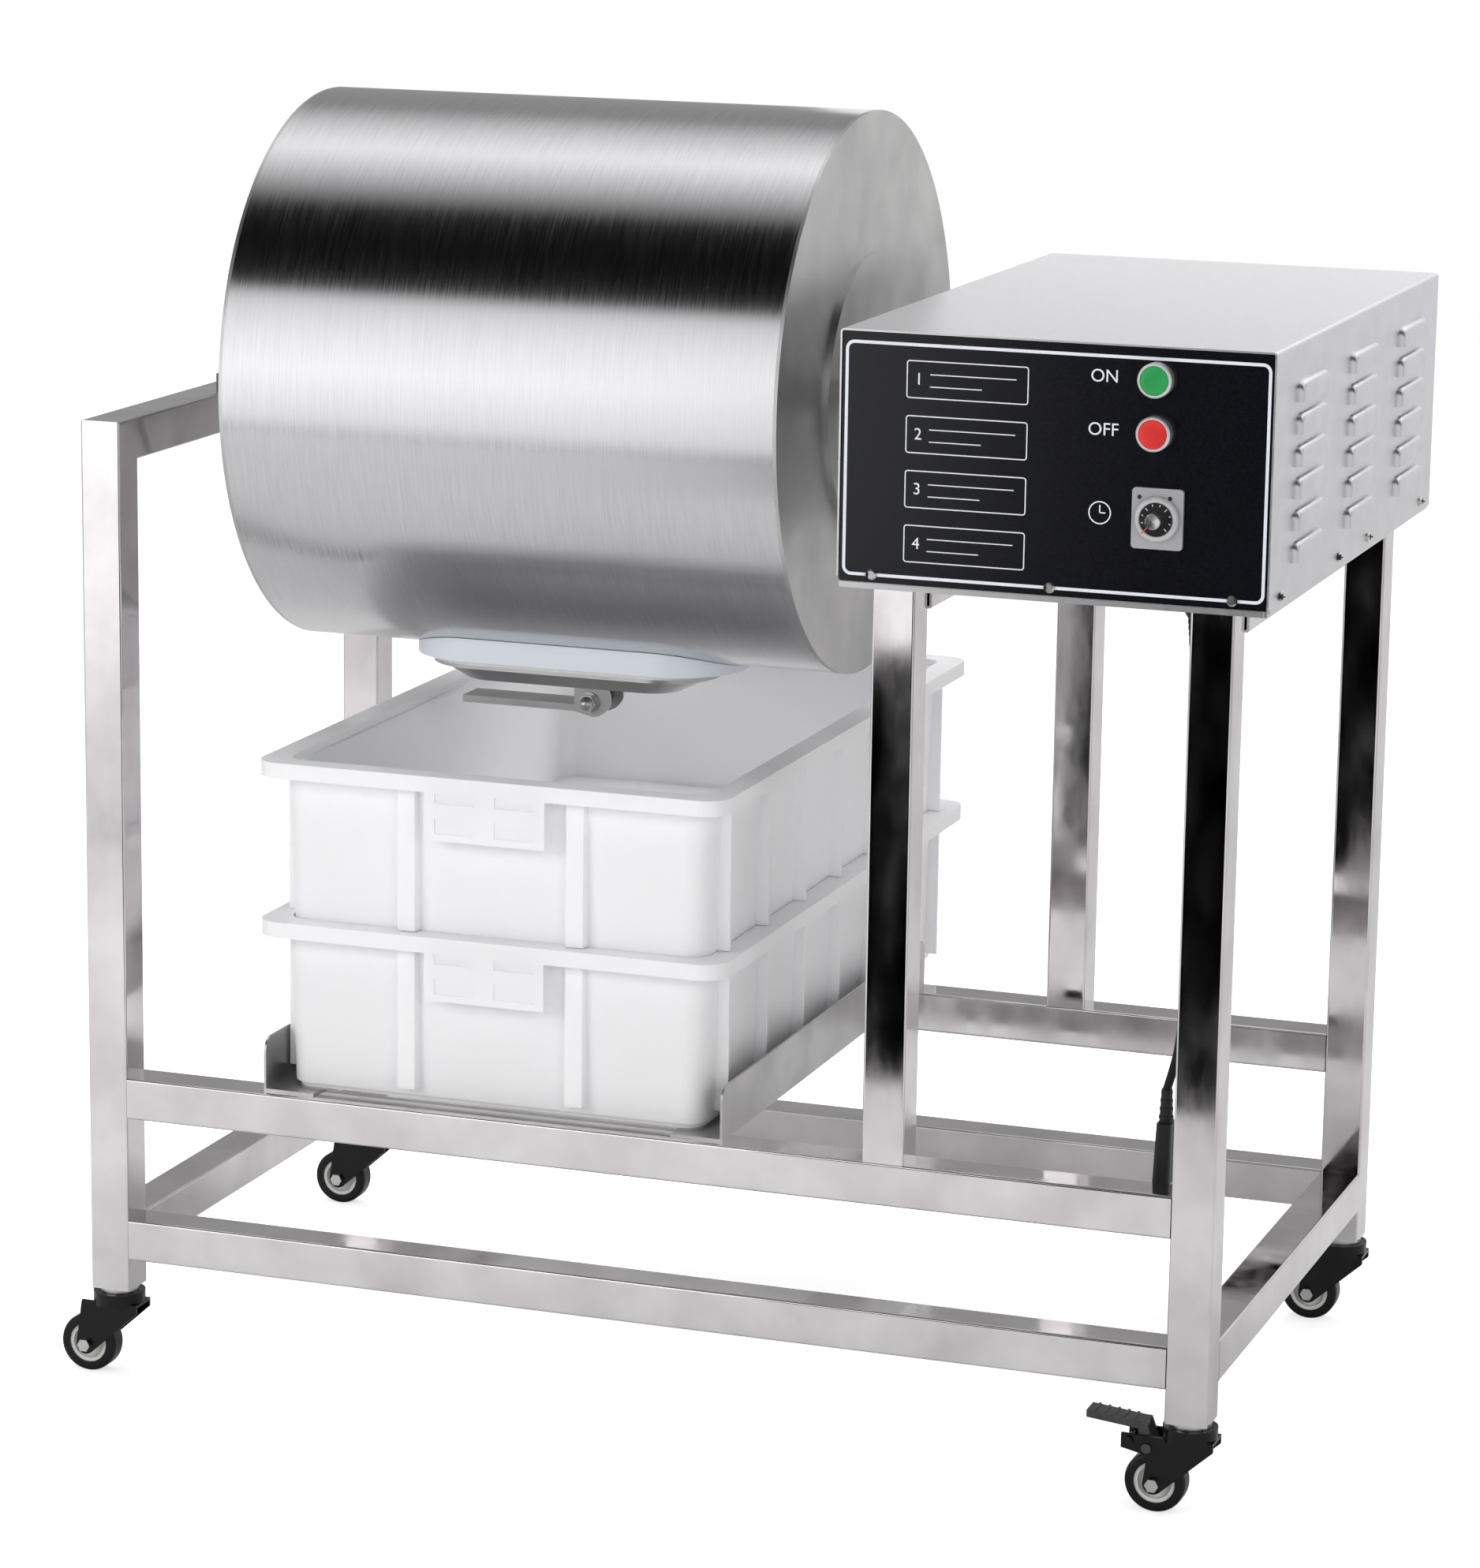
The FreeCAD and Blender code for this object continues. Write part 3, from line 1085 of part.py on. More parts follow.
def pillow_block():
    """Bearing housing on the portal's top bar: a flat foot and a round head."""
    x = -LEG_X + SHELF_REACH / 2
    x0 = x - BEARING_LENGTH / 2
    foot = box(x0, x0 + BEARING_LENGTH, -BEARING_FOOT / 2, BEARING_FOOT / 2, SHELF_TOP, SHELF_TOP + 10)
    head_radius = SHAFT_RADIUS + 13
    head = rod(head_radius, drum_axis_at(x0), X_AXIS, BEARING_LENGTH)
    head = head.common(box(x0, x0 + BEARING_LENGTH, -head_radius, head_radius, SHELF_TOP, DRUM_AXIS_Z + head_radius))
    bolts = [hexagon_prism(7, (x, side * BEARING_BOLT_SPREAD, SHELF_TOP + 10), Z_AXIS, 5) for side in (-1, 1)]
    bore = rod(SHAFT_RADIUS + RUNNING_FIT, drum_axis_at(x0), X_AXIS, BEARING_LENGTH)
    return fuse([foot, head] + bolts).cut(bore)


def flange_bearing():
    """Round flange unit on the pedestal inside the box."""
    x = PEDESTAL_X + PEDESTAL_THICKNESS
    length = SPROCKET_X - 6 - SEAT_GAP - x
    flange = rod(SHAFT_RADIUS + 27, drum_axis_at(x), X_AXIS, 8)
    head = rod(SHAFT_RADIUS + 12, drum_axis_at(x), X_AXIS, length)
    bore = rod(SHAFT_RADIUS + RUNNING_FIT, drum_axis_at(x), X_AXIS, length)
    return fuse([flange, head]).cut(bore)


def shaft_bearings():
    return group([pillow_block(), flange_bearing()])


def pitch_radius(teeth):
    return CHAIN_PITCH / (2 * math.sin(math.pi / teeth))


def chain_runs(distance):
    """Wrap angle lost by the small wheel, and the length of each straight run, for a centre distance."""
    drop = pitch_radius(DRUM_TEETH) - pitch_radius(MOTOR_TEETH)
    return math.asin(drop / distance), math.sqrt(distance ** 2 - drop ** 2)


def chain_length(distance):
    """Length in links of a chain on both sprockets."""
    lean, straight = chain_runs(distance)
    on_drum = DRUM_TEETH * (math.pi + 2 * lean) / (2 * math.pi)
    on_motor = MOTOR_TEETH * (math.pi - 2 * lean) / (2 * math.pi)
    return on_drum + on_motor + 2 * straight / CHAIN_PITCH


def centre_distance():
    """Distance between the sprockets that takes up all the chain's links, by halving."""
    low = pitch_radius(DRUM_TEETH) + pitch_radius(MOTOR_TEETH)
    high = CHAIN_LINKS * CHAIN_PITCH
    while high - low > 1e-6:
        middle = (low + high) / 2
        if chain_length(middle) < CHAIN_LINKS:
            low = middle
        else:
            high = middle
    return (low + high) / 2


def motor_axis_y():
    rise = DRUM_AXIS_Z - MOTOR_AXIS_Z
    return math.sqrt(centre_distance() ** 2 - rise ** 2)


def drive_direction():
    """Angle of the line from the drum's axis to the motor's, in the plane of Y and Z."""
    return math.degrees(math.atan2(MOTOR_AXIS_Z - DRUM_AXIS_Z, motor_axis_y()))


def chain_points():
    """Pin centres of the chain as y and z, and the angle of the first pin on each sprocket."""
    distance = centre_distance()
    lean, straight = chain_runs(distance)
    big = pitch_radius(DRUM_TEETH)
    small = pitch_radius(MOTOR_TEETH)
    drum_start = math.pi / 2 - lean
    drum_links = DRUM_TEETH * (math.pi + 2 * lean) / (2 * math.pi)
    motor_links = MOTOR_TEETH * (math.pi - 2 * lean) / (2 * math.pi)
    run_links = straight / CHAIN_PITCH
    points = []
    motor_angle = None
    for number in range(CHAIN_LINKS):
        if number <= drum_links:
            angle = drum_start + number * 2 * math.pi / DRUM_TEETH
            points.append((big * math.cos(angle), big * math.sin(angle)))
            continue
        past = number - drum_links
        if past <= run_links:
            angle = -drum_start
            along = past * CHAIN_PITCH
            points.append((big * math.cos(angle) + along * math.cos(lean),
                           big * math.sin(angle) + along * math.sin(lean)))
            continue
        past -= run_links
        if past <= motor_links:
            angle = -drum_start + past * 2 * math.pi / MOTOR_TEETH
            if motor_angle is None:
                motor_angle = angle
            points.append((distance + small * math.cos(angle), small * math.sin(angle)))
            continue
        along = (past - motor_links) * CHAIN_PITCH
        points.append((distance + small * math.cos(drum_start) - along * math.cos(lean),
                       small * math.sin(drum_start) + along * math.sin(lean)))
    return points, math.degrees(drum_start), math.degrees(motor_angle)


def in_drive_plane(shape):
    """Turns what is drawn in the X-Y plane into the chain's plane, on the drum's axis."""
    shape = shape.copy()
    shape.rotate(Vector(0, 0, 0), Z_AXIS, drive_direction())
    shape.rotate(Vector(0, 0, 0), Vector(1, 1, 1), 120)
    return shape.translated(Vector(SPROCKET_X, 0, DRUM_AXIS_Z))


def sprocket(teeth, first_gap, hub_radius, bore, hub_ahead, hub_behind):
    """Toothed disc on the Z axis, one gap at the given angle, with a hub on both sides."""
    pitch = pitch_radius(teeth)
    disc = Part.makeCylinder(pitch + TOOTH_TIP, SPROCKET_THICKNESS)
    gaps = []
    for number in range(teeth):
        outward = direction(first_gap + 360 * number / teeth)
        seat = outward * pitch
        across = Vector(-outward.y, outward.x, 0)
        mouth = outward * (pitch + 2 * TOOTH_TIP)
        flare = TOOTH_SEAT + TOOTH_TIP * TOOTH_FLARE
        corners = [seat - across * TOOTH_SEAT, mouth - across * flare, mouth + across * flare,
                   seat + across * TOOTH_SEAT]
        throat = Part.Face(Part.makePolygon(corners + corners[:1])).extrude(Vector(0, 0, SPROCKET_THICKNESS))
        gaps.extend([rod(TOOTH_SEAT, seat, Z_AXIS, SPROCKET_THICKNESS), throat])
    hub = Part.makeCylinder(hub_radius, hub_ahead + hub_behind + SPROCKET_THICKNESS, Vector(0, 0, -hub_behind))
    wheel = fuse([disc.cut(group(gaps)), hub])
    if bore:
        wheel = wheel.cut(rod(bore, (0, 0, -hub_behind), Z_AXIS, hub_ahead + hub_behind + SPROCKET_THICKNESS))
    return wheel


def drum_sprocket():
    first_gap = chain_points()[1]
    return in_drive_plane(sprocket(DRUM_TEETH, first_gap, HUB_RADIUS, SHAFT_RADIUS + RUNNING_FIT, 8, 6))


def motor_sprocket():
    """Small sprocket with the gearbox's output shaft."""
    first_gap = chain_points()[2]
    hub_ahead = GEARBOX_FACE - SEAT_GAP - SPROCKET_X - SPROCKET_THICKNESS
    wheel = sprocket(MOTOR_TEETH, first_gap, MOTOR_HUB_RADIUS, 0, hub_ahead, 6)
    shaft = rod(MOTOR_SHAFT_RADIUS, (0, 0, 0), Z_AXIS, GEARBOX_FACE - SPROCKET_X + 18)
    return in_drive_plane(fuse([wheel, shaft]).translated(Vector(centre_distance(), 0, 0)))


def chain():
    """Roller chain: one roller at each pin, and a pair of link plates between two pins."""
    points = chain_points()[0]
    half = CHAIN_WIDTH / 2
    middle = SPROCKET_THICKNESS / 2
    links = []
    for number, (x, y) in enumerate(points):
        following = Vector(*points[(number + 1) % len(points)], 0)
        here = Vector(x, y, 0)
        along = (following - here).normalize()
        across = Vector(-along.y, along.x, 0) * LINK_HALF_HEIGHT
        inner = half if number % 2 else half + LINK_PLATE
        tip = along * LINK_HALF_HEIGHT
        outline = [here - tip, here + across, following + across, following + tip, following - across, here - across]
        plate = Part.Face(Part.makePolygon(outline + outline[:1])).extrude(Vector(0, 0, LINK_PLATE))
        for z in (middle + inner, middle - inner - LINK_PLATE):
            links.append(plate.translated(Vector(0, 0, z)))
        links.append(rod(ROLLER_RADIUS, here + Vector(0, 0, middle - half), Z_AXIS, CHAIN_WIDTH))
    return in_drive_plane(group(links))


def gear_motor():
    """Gearbox on feet with the motor behind it, both standing on the tray."""
    y = motor_axis_y()
    floor = BOX_FLOOR + TRAY_SHEET
    half = GEARBOX_WIDTH / 2
    gearbox = box(GEARBOX_FACE, GEARBOX_FACE + GEARBOX_LENGTH, y - half, y + half, floor, MOTOR_AXIS_Z + half)
    motor = rod(MOTOR_RADIUS, (GEARBOX_FACE + GEARBOX_LENGTH, y, MOTOR_AXIS_Z), X_AXIS, MOTOR_LENGTH)
    foot_x = GEARBOX_FACE + GEARBOX_LENGTH + MOTOR_LENGTH * 0.6
    foot = box(foot_x, foot_x + 40, y - half / 2, y + half / 2, floor, MOTOR_AXIS_Z - MOTOR_RADIUS + 6)
    bore = rod(MOTOR_SHAFT_RADIUS + RUNNING_FIT, (GEARBOX_FACE, y, MOTOR_AXIS_Z), X_AXIS, 20)
    return fuse([gearbox, motor, foot]).cut(bore)


# ---------------------------------------------------------------- cord

def cord_tube(route, name):
    """Straight runs joined by tangent arcs, each arc as large as its two runs allow."""
    points = [by_front_right_leg(*point) for point in route]
    edges = []
    start = points[0]
    radii = []
    for before, corner, after in zip(points, points[1:], points[2:]):
        incoming = (corner - before).normalize()
        outgoing = (after - corner).normalize()
        turn = incoming.getAngle(outgoing)
        trim = 0.45 * min((corner - before).Length, (after - corner).Length)
        radii.append(trim / math.tan(turn / 2))
        into = corner - incoming * trim
        out = corner + outgoing * trim
        towards = (out + into) * 0.5 - corner
        distance = radii[-1] / math.cos(turn / 2) - radii[-1]
        middle = corner + towards.normalize() * distance
        edges.append(Part.LineSegment(start, into).toShape())
        edges.append(Part.Arc(into, middle, out).toShape())
        start = out
    edges.append(Part.LineSegment(start, points[-1]).toShape())
    path = Part.Wire(edges)
    section = Part.Wire(Part.Circle(points[0], points[1] - points[0], CORD_DIAMETER / 2).toShape())
    tube = path.makePipeShell([section], True, False)
    expected = math.pi * CORD_DIAMETER ** 2 / 4 * path.Length
    print(name, "length", round(path.Length, 1), "radii", [round(radius) for radius in radii],
          "volume share", round(tube.Volume / expected, 4))
    return tube


def power_cord():
    """The two stretches that hang free, trimmed where they meet the gland, the hank and the plug."""
    upper = cord_tube(UPPER_CORD, "upper cord").cut(cord_gland()).cut(cord_hank())
    lower = cord_tube(LOWER_CORD, "lower cord").cut(cord_hank()).cut(power_plug())
    return group([upper, lower])


def cord_hank():
    """Outer shape of the folded length that hangs behind the front right leg: flat sides, round ends."""
    x, y, _ = by_front_right_leg(*HANK_CENTRE)
    thickness = HANK_LAYERS * CORD_DIAMETER
    radius = HANK_WIDTH / 2
    left = x - thickness / 2
    ends = [rod(radius, (left, y, z), X_AXIS, thickness) for z in (HANK_BOTTOM + radius, HANK_TOP - radius)]
    middle = box(left, left + thickness, y - radius, y + radius, HANK_BOTTOM + radius, HANK_TOP - radius)
    return fuse(ends + [middle])


def cord_gland():
    """Strain relief gland through the box floor, its nut inside."""
    thread = GLAND_RADIUS - 2
    tip = CORD_DIAMETER / 2 + 2
    outline = [(0, GLAND_TIP_Z), (tip, GLAND_TIP_Z), (GLAND_RADIUS, GLAND_TIP_Z + 6), (GLAND_RADIUS, BOX_FLOOR),
               (thread, BOX_FLOOR), (thread, BOX_FLOOR + TRAY_SHEET), (GLAND_RADIUS + 1, BOX_FLOOR + TRAY_SHEET),
               (GLAND_RADIUS + 1, BOX_FLOOR + TRAY_SHEET + 5), (0, BOX_FLOOR + TRAY_SHEET + 5)]
    corners = [Vector(radius, 0, z) for radius, z in outline]
    gland = Part.Face(Part.makePolygon(corners + corners[:1])).revolve(Vector(0, 0, 0), Z_AXIS, 360)
    return gland.translated(by_front_right_leg(*GLAND_AT))


def power_plug():
    """Plug body with a tapered, ribbed relief, and two round pins below."""
    x, y, relief_top = by_front_right_leg(*LOWER_CORD[-1])
    half_x, half_y = PLUG_HALF
    body = rounded_loft((half_x, half_y, 4, PLUG_BOTTOM_Z), (half_x - 1, half_y - 5, 4, PLUG_TOP_Z), x, y)
    relief = Part.makeCone(half_x - 1.5, CORD_DIAMETER / 2 + 0.8, relief_top - PLUG_TOP_Z, Vector(x, y, PLUG_TOP_Z))
    ribs = []
    for share in (0.15, 0.4, 0.65, 0.9):
        z = PLUG_TOP_Z + share * (relief_top - PLUG_TOP_Z)
        radius = half_x - 0.9 - share * 1.6
        ribs.append(rod(radius, (x, y, z - 1.2), Z_AXIS, 2.4))
    pins = []
    for side in (-1, 1):
        centre = (x, y + side * PLUG_PIN_SPACING / 2, PLUG_BOTTOM_Z - PLUG_PIN_LENGTH)
        pins.append(rod(PLUG_PIN_RADIUS, centre, Z_AXIS, PLUG_PIN_LENGTH))
    return group([fuse([body, relief] + ribs)] + pins)


# ---------------------------------------------------------------- output

def machine_nodes():
    """Name and shape of every piece, in the frame's own coordinates."""
    nodes = {
        "portal_legs": portal_legs(), "portal_top_bar": portal_top_bar(), "right_legs": right_legs(),
        "middle_legs": middle_legs(), "lower_rails": lower_rails(), "mid_rails": mid_rails(),
        "crate_guides": crate_guides(), "box_bearers": box_bearers(), "bearing_shelf": bearing_shelf(),
        "caster_stems": caster_stems(), "shaft_bearings": shaft_bearings(), "drive_base": drive_base(),
        "drive_cover": drive_cover(), "control_panel": control_panel(), "back_panel": back_panel(),
        "pan_screws": pan_screws(), "button_bezels": button_bezels(), "start_button": push_button(0),
        "stop_button": push_button(1), "timer_body": timer_body(), "timer_knob": timer_knob(),
        "gear_motor": gear_motor(), "motor_sprocket": motor_sprocket(), "chain": chain(),
        "drum_sprocket": drum_sprocket(), "drum_shell": drum_shell(), "drum_ends": drum_ends(),
        "drum_shafts": drum_shafts(), "drum_baffles": drum_baffles(), "mouth_neck": mouth_neck(),
        "neck_bridge": neck_bridge(), "lid": lid(), "lid_seal": lid_seal(), "draw_bolt": draw_bolt(),
        "lever_pin": lever_pin(), "cam_lever": cam_lever(), "lower_crate": placed_crate(LOWER_CRATE_Z),
        "upper_crate": placed_crate(UPPER_CRATE_Z), "cord_gland": cord_gland(), "power_cord": power_cord(),
        "cord_hank": cord_hank(), "power_plug": power_plug(),
    }
    for corner, (x, y) in caster_corners().items():
        at_leg = Vector(x, y, 0)
        nodes["caster_" + corner + "_fork"] = caster_fork(corner == "fr").translated(at_leg)
        nodes["caster_" + corner + "_bolt"] = caster_bolt().translated(at_leg)
        nodes["caster_" + corner + "_hub"] = caster_hub().translated(at_leg)
        nodes["caster_" + corner + "_tyre"] = caster_tyre().translated(at_leg)
    nodes["brake_pedal"] = brake_pedal().translated(Vector(*caster_corners()["fr"], 0))
    return nodes


def main():
    os.makedirs("parts", exist_ok=True)
    for name, shape in machine_nodes().items():
        shape.translated(TO_ORIGIN).exportStep("parts/" + name + ".step")


main()
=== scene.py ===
"""Looks of a meat tumbler: finishes, control markings, cord and stage around its CAD frame.

Lengths in the settings are in metres. A place on the control panel is measured from the lower
left corner of the drive box's cover, and a place on the cord from the front right leg's axis.
"""
import json
import math

import bmesh
import bpy
from mathutils import Matrix, Vector


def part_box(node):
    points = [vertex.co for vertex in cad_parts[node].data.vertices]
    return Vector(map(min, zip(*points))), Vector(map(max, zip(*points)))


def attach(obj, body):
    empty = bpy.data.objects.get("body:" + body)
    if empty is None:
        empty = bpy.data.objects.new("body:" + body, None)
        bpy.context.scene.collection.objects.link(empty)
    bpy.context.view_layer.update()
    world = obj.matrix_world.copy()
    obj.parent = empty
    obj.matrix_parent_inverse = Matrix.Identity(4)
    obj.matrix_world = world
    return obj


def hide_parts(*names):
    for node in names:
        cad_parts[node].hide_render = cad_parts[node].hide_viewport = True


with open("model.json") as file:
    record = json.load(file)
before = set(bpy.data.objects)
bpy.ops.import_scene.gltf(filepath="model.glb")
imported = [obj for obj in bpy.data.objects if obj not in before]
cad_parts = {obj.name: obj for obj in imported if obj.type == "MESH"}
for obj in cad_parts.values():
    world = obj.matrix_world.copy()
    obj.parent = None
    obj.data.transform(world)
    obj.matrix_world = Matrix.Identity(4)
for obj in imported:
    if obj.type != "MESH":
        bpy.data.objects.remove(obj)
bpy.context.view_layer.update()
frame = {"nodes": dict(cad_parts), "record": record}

bl_info = {
    "name": "Meat Tumbler Looks",
    "version": (1, 0, 0),
    "blender": (4, 5, 0),
    "location": "View3D > Sidebar > Tumbler",
    "description": "Finishes, markings, cord and studio for the meat tumbler",
    "category": "Object",
}

MM = 0.001
PROUD = 0.05 * MM
PRINT_THICKNESS = 0.1 * MM


# ---------------------------------------------------------------- settings

class StageSettings(bpy.types.PropertyGroup):
    floor_size: bpy.props.FloatProperty(
        name="Floor size", description="Side of the square floor", default=14.0, unit="LENGTH")
    lamp_power: bpy.props.FloatProperty(
        name="Lamp power", description="Power of the large lamp overhead", default=34.0, unit="POWER")
    lens: bpy.props.FloatProperty(
        name="Lens", description="Focal length on a 36 mm sensor", default=118.02)


class PanelSettings(bpy.types.PropertyGroup):
    border_line: bpy.props.FloatProperty(
        name="Border line", description="Width of the line round the panel", default=2.5 * MM, unit="LENGTH")
    border_corner: bpy.props.FloatProperty(
        name="Border corner", description="Corner radius of that line", default=7 * MM, unit="LENGTH")
    label_line: bpy.props.FloatProperty(
        name="Label line", description="Width of the line round a label box", default=0.9 * MM, unit="LENGTH")
    label_pitch: bpy.props.FloatProperty(
        name="Label pitch", description="Height from one label box to the next", default=42.8 * MM, unit="LENGTH")
    ink: bpy.props.StringProperty(
        name="Ink", description="Colour of the printed markings, sRGB", default="#E6EAF2")


class CordSettings(bpy.types.PropertyGroup):
    diameter: bpy.props.FloatProperty(
        name="Diameter", description="Diameter of the cord's jacket", default=7 * MM, unit="LENGTH")
    layers: bpy.props.IntProperty(
        name="Layers", description="Loops side by side in the hank", default=4, min=1)
    fold_radius: bpy.props.FloatProperty(
        name="Fold radius", description="Radius of the hank's end folds", default=21 * MM, unit="LENGTH")
    tie_width: bpy.props.FloatProperty(
        name="Tie width", description="Width of the band round the hank", default=14 * MM, unit="LENGTH")


SETTINGS = {"tumbler_stage": StageSettings, "tumbler_panel": PanelSettings, "tumbler_cord": CordSettings}


# ---------------------------------------------------------------- materials

def linear(hex_colour):
    """Linear RGBA of an sRGB colour such as #C0C0C0."""
    channels = [int(hex_colour[start:start + 2], 16) / 255 for start in (1, 3, 5)]
    bent = [value / 12.92 if value <= 0.04045 else ((value + 0.055) / 1.055) ** 2.4 for value in channels]
    return (*bent, 1.0)


def add_node(material, kind, settings=None, values=None, links=None):
    """Node of the given kind with its properties, socket values and incoming links."""
    tree = material.node_tree
    node = tree.nodes.new(kind)
    for name, value in (settings or {}).items():
        setattr(node, name, value)
    for name, value in (values or {}).items():
        node.inputs[name].default_value = value
    for name, source in (links or {}).items():
        tree.links.new(source, node.inputs[name])
    return node


def surface(name, colour, roughness, metallic=0.0, **values):
    """New material with one Principled shader, which the patterns are then linked to."""
    material = bpy.data.materials.new(name)
    material.use_nodes = True
    shader = material.node_tree.nodes["Principled BSDF"]
    shader.inputs["Base Color"].default_value = linear(colour)
    shader.inputs["Roughness"].default_value = roughness
    shader.inputs["Metallic"].default_value = metallic
    for socket, value in values.items():
        shader.inputs[socket.replace("_", " ")].default_value = value
    return material, shader


def grain(material, size, stretch=(1, 1, 1), detail=3.0):
    """Noise whose grains are size across, drawn out by stretch along X, Y and Z."""
    place = add_node(material, "ShaderNodeTexCoord")
    scale = tuple(1 / (size * along) for along in stretch)
    mapping = add_node(material, "ShaderNodeMapping", values={"Scale": scale},
                       links={"Vector": place.outputs["Object"]})
    noise = add_node(material, "ShaderNodeTexNoise", values={"Scale": 1.0, "Detail": detail},
                     links={"Vector": mapping.outputs["Vector"]})
    return noise.outputs["Fac"]


def vary(material, shader, socket, source, low, high):
    """Lets a pattern move one number of the shader between low and high."""
    span = add_node(material, "ShaderNodeMapRange", values={"From Min": 0.3, "From Max": 0.7,
                                                             "To Min": low, "To Max": high},
                    links={"Value": source})
    material.node_tree.links.new(span.outputs["Result"], shader.inputs[socket])


def tint(material, shader, source, low_colour, high_colour):
    """Lets a pattern move the base colour between two colours."""
    ramp = add_node(material, "ShaderNodeValToRGB", links={"Fac": source})
    ramp.color_ramp.elements[0].position = 0.3
    ramp.color_ramp.elements[0].color = linear(low_colour)
    ramp.color_ramp.elements[1].position = 0.7
    ramp.color_ramp.elements[1].color = linear(high_colour)
    material.node_tree.links.new(ramp.outputs["Color"], shader.inputs["Base Color"])


def emboss(material, shader, source, depth, strength=0.5):
    """Lets a pattern raise the surface by depth."""
    bump = add_node(material, "ShaderNodeBump", values={"Distance": depth, "Strength": strength},
                    links={"Height": source})
    material.node_tree.links.new(bump.outputs["Normal"], shader.inputs["Normal"])


def stainless_brushed_round():
    """Drum sheet: belt-brushed round the drum, so lights smear along it and keep firm edges across."""
    material, shader = surface("stainless_brushed_round", "#C4C4C6", 0.2, 1.0, Anisotropic=0.7,
                               Anisotropic_Rotation=0.25)
    around = add_node(material, "ShaderNodeTangent", {"direction_type": "RADIAL", "axis": "X"})
    material.node_tree.links.new(around.outputs["Tangent"], shader.inputs["Tangent"])
    scratches = grain(material, 0.9 * MM, (1, 40, 40), 5.0)
    vary(material, shader, "Roughness", scratches, 0.17, 0.25)
    tint(material, shader, scratches, "#BCBCBE", "#CBCBCD")
    emboss(material, shader, scratches, 0.02 * MM, 0.3)
    return material


def stainless_satin_sheet():
    """End plates and lid: ground flat, with cloudy marks that blur what they mirror."""
    material, shader = surface("stainless_satin_sheet", "#BDBCBC", 0.36, 1.0)
    clouds = grain(material, 40 * MM, (1, 1, 1), 5.0)
    vary(material, shader, "Roughness", clouds, 0.28, 0.42)
    tint(material, shader, grain(material, 70 * MM), "#B2B1B1", "#C4C3C2")
    emboss(material, shader, grain(material, 0.6 * MM, (1, 12, 1), 3.0), 0.02 * MM, 0.3)
    return material


def stainless_polished_tube():
    """Frame tube: bright mill polish that mirrors the room, with handling smears."""
    material, shader = surface("stainless_polished_tube", "#D8D4D6", 0.07, 1.0)
    smears = grain(material, 30 * MM, (1, 1, 3), 6.0)
    vary(material, shader, "Roughness", smears, 0.03, 0.15)
    tint(material, shader, grain(material, 70 * MM, detail=6.0), "#CBC6C8", "#E2DFE0")
    emboss(material, shader, grain(material, 60 * MM), 0.12 * MM, 0.15)
    return material


def stainless_fine_ground():
    """Box sheets: fine ground and matt, nearly white under soft light, with a faint grain."""
    material, shader = surface("stainless_fine_ground", "#DADADD", 0.34, 1.0)
    lines = grain(material, 0.6 * MM, (1, 40, 40), 3.0)
    vary(material, shader, "Roughness", lines, 0.28, 0.4)
    emboss(material, shader, lines, 0.02 * MM, 0.25)
    return material


def panel_enamel_black():
    """Front panel: baked black enamel with a fine orange-peel that gives pin-point glints."""
    material, shader = surface("panel_enamel_black", "#050507", 0.22, Specular_IOR_Level=0.3)
    speckle = grain(material, 1.2 * MM, (1, 1, 1), 2.0)
    tint(material, shader, speckle, "#030306", "#10121B")
    emboss(material, shader, speckle, 0.03 * MM, 0.25)
    return material


def steel_zinc_plated():
    """Bolts and bearings' hardware: bright zinc, slightly cloudy."""
    material, shader = surface("steel_zinc_plated", "#C9C9C6", 0.25, 1.0)
    vary(material, shader, "Roughness", grain(material, 20 * MM, detail=1.0), 0.24, 0.32)
    return material


def aluminium_satin_ring():
    """Button bezels: turned and clear anodised, so the rings stay light against the panel."""
    material, shader = surface("aluminium_satin_ring", "#F2F2F3", 0.5, 1.0)
    vary(material, shader, "Roughness", grain(material, 2 * MM), 0.42, 0.58)
    return material


def abs_gloss(name, colour, deep):
    """Moulded ABS with a smooth shine; a faint cloudiness keeps it from looking painted."""
    material, shader = surface(name, colour, 0.4, IOR=1.54)
    tint(material, shader, grain(material, 20 * MM, detail=0.0), deep, colour)
    vary(material, shader, "Roughness", grain(material, 20 * MM, detail=0.0), 0.36, 0.44)
    return material


def plastic_textured(name, colour, high, roughness=0.5):
    """Moulded plastic with a fine spark-eroded texture, which dulls its shine."""
    material, shader = surface(name, colour, roughness, IOR=1.5)
    texture = grain(material, 0.8 * MM, (1, 1, 1), 2.0)
    tint(material, shader, texture, colour, high)
    emboss(material, shader, texture, 0.04 * MM, 0.4)
    return material


def polyethylene_milky():
    """Crates: natural polyethylene, waxy and slightly see-through, so light bleeds in the ribs."""
    material, shader = surface("polyethylene_milky", "#FAFAFC", 0.36, IOR=1.51, Subsurface_Weight=0.3,
                               Subsurface_Scale=8 * MM)
    shader.inputs["Subsurface Radius"].default_value = (1.0, 1.0, 1.0)
    vary(material, shader, "Roughness", grain(material, 30 * MM), 0.3, 0.46)
    emboss(material, shader, grain(material, 60 * MM), 0.4 * MM, 0.15)
    return material


def polyethylene_machined():
    """Mouth neck: white polyethylene cut on a lathe, bluish white and satin."""
    material, shader = surface("polyethylene_machined", "#E4EAF2", 0.35, IOR=1.51)
    vary(material, shader, "Roughness", grain(material, 10 * MM), 0.28, 0.42)
    return material


def rubber_matt(name, colour, high, roughness=0.6):
    """Moulded rubber with a dull bloom."""
    material, shader = surface(name, colour, roughness, IOR=1.52, Specular_IOR_Level=0.25)
    tint(material, shader, grain(material, 5 * MM), colour, high)
    emboss(material, shader, grain(material, 1.2 * MM), 0.03 * MM, 0.4)
    return material


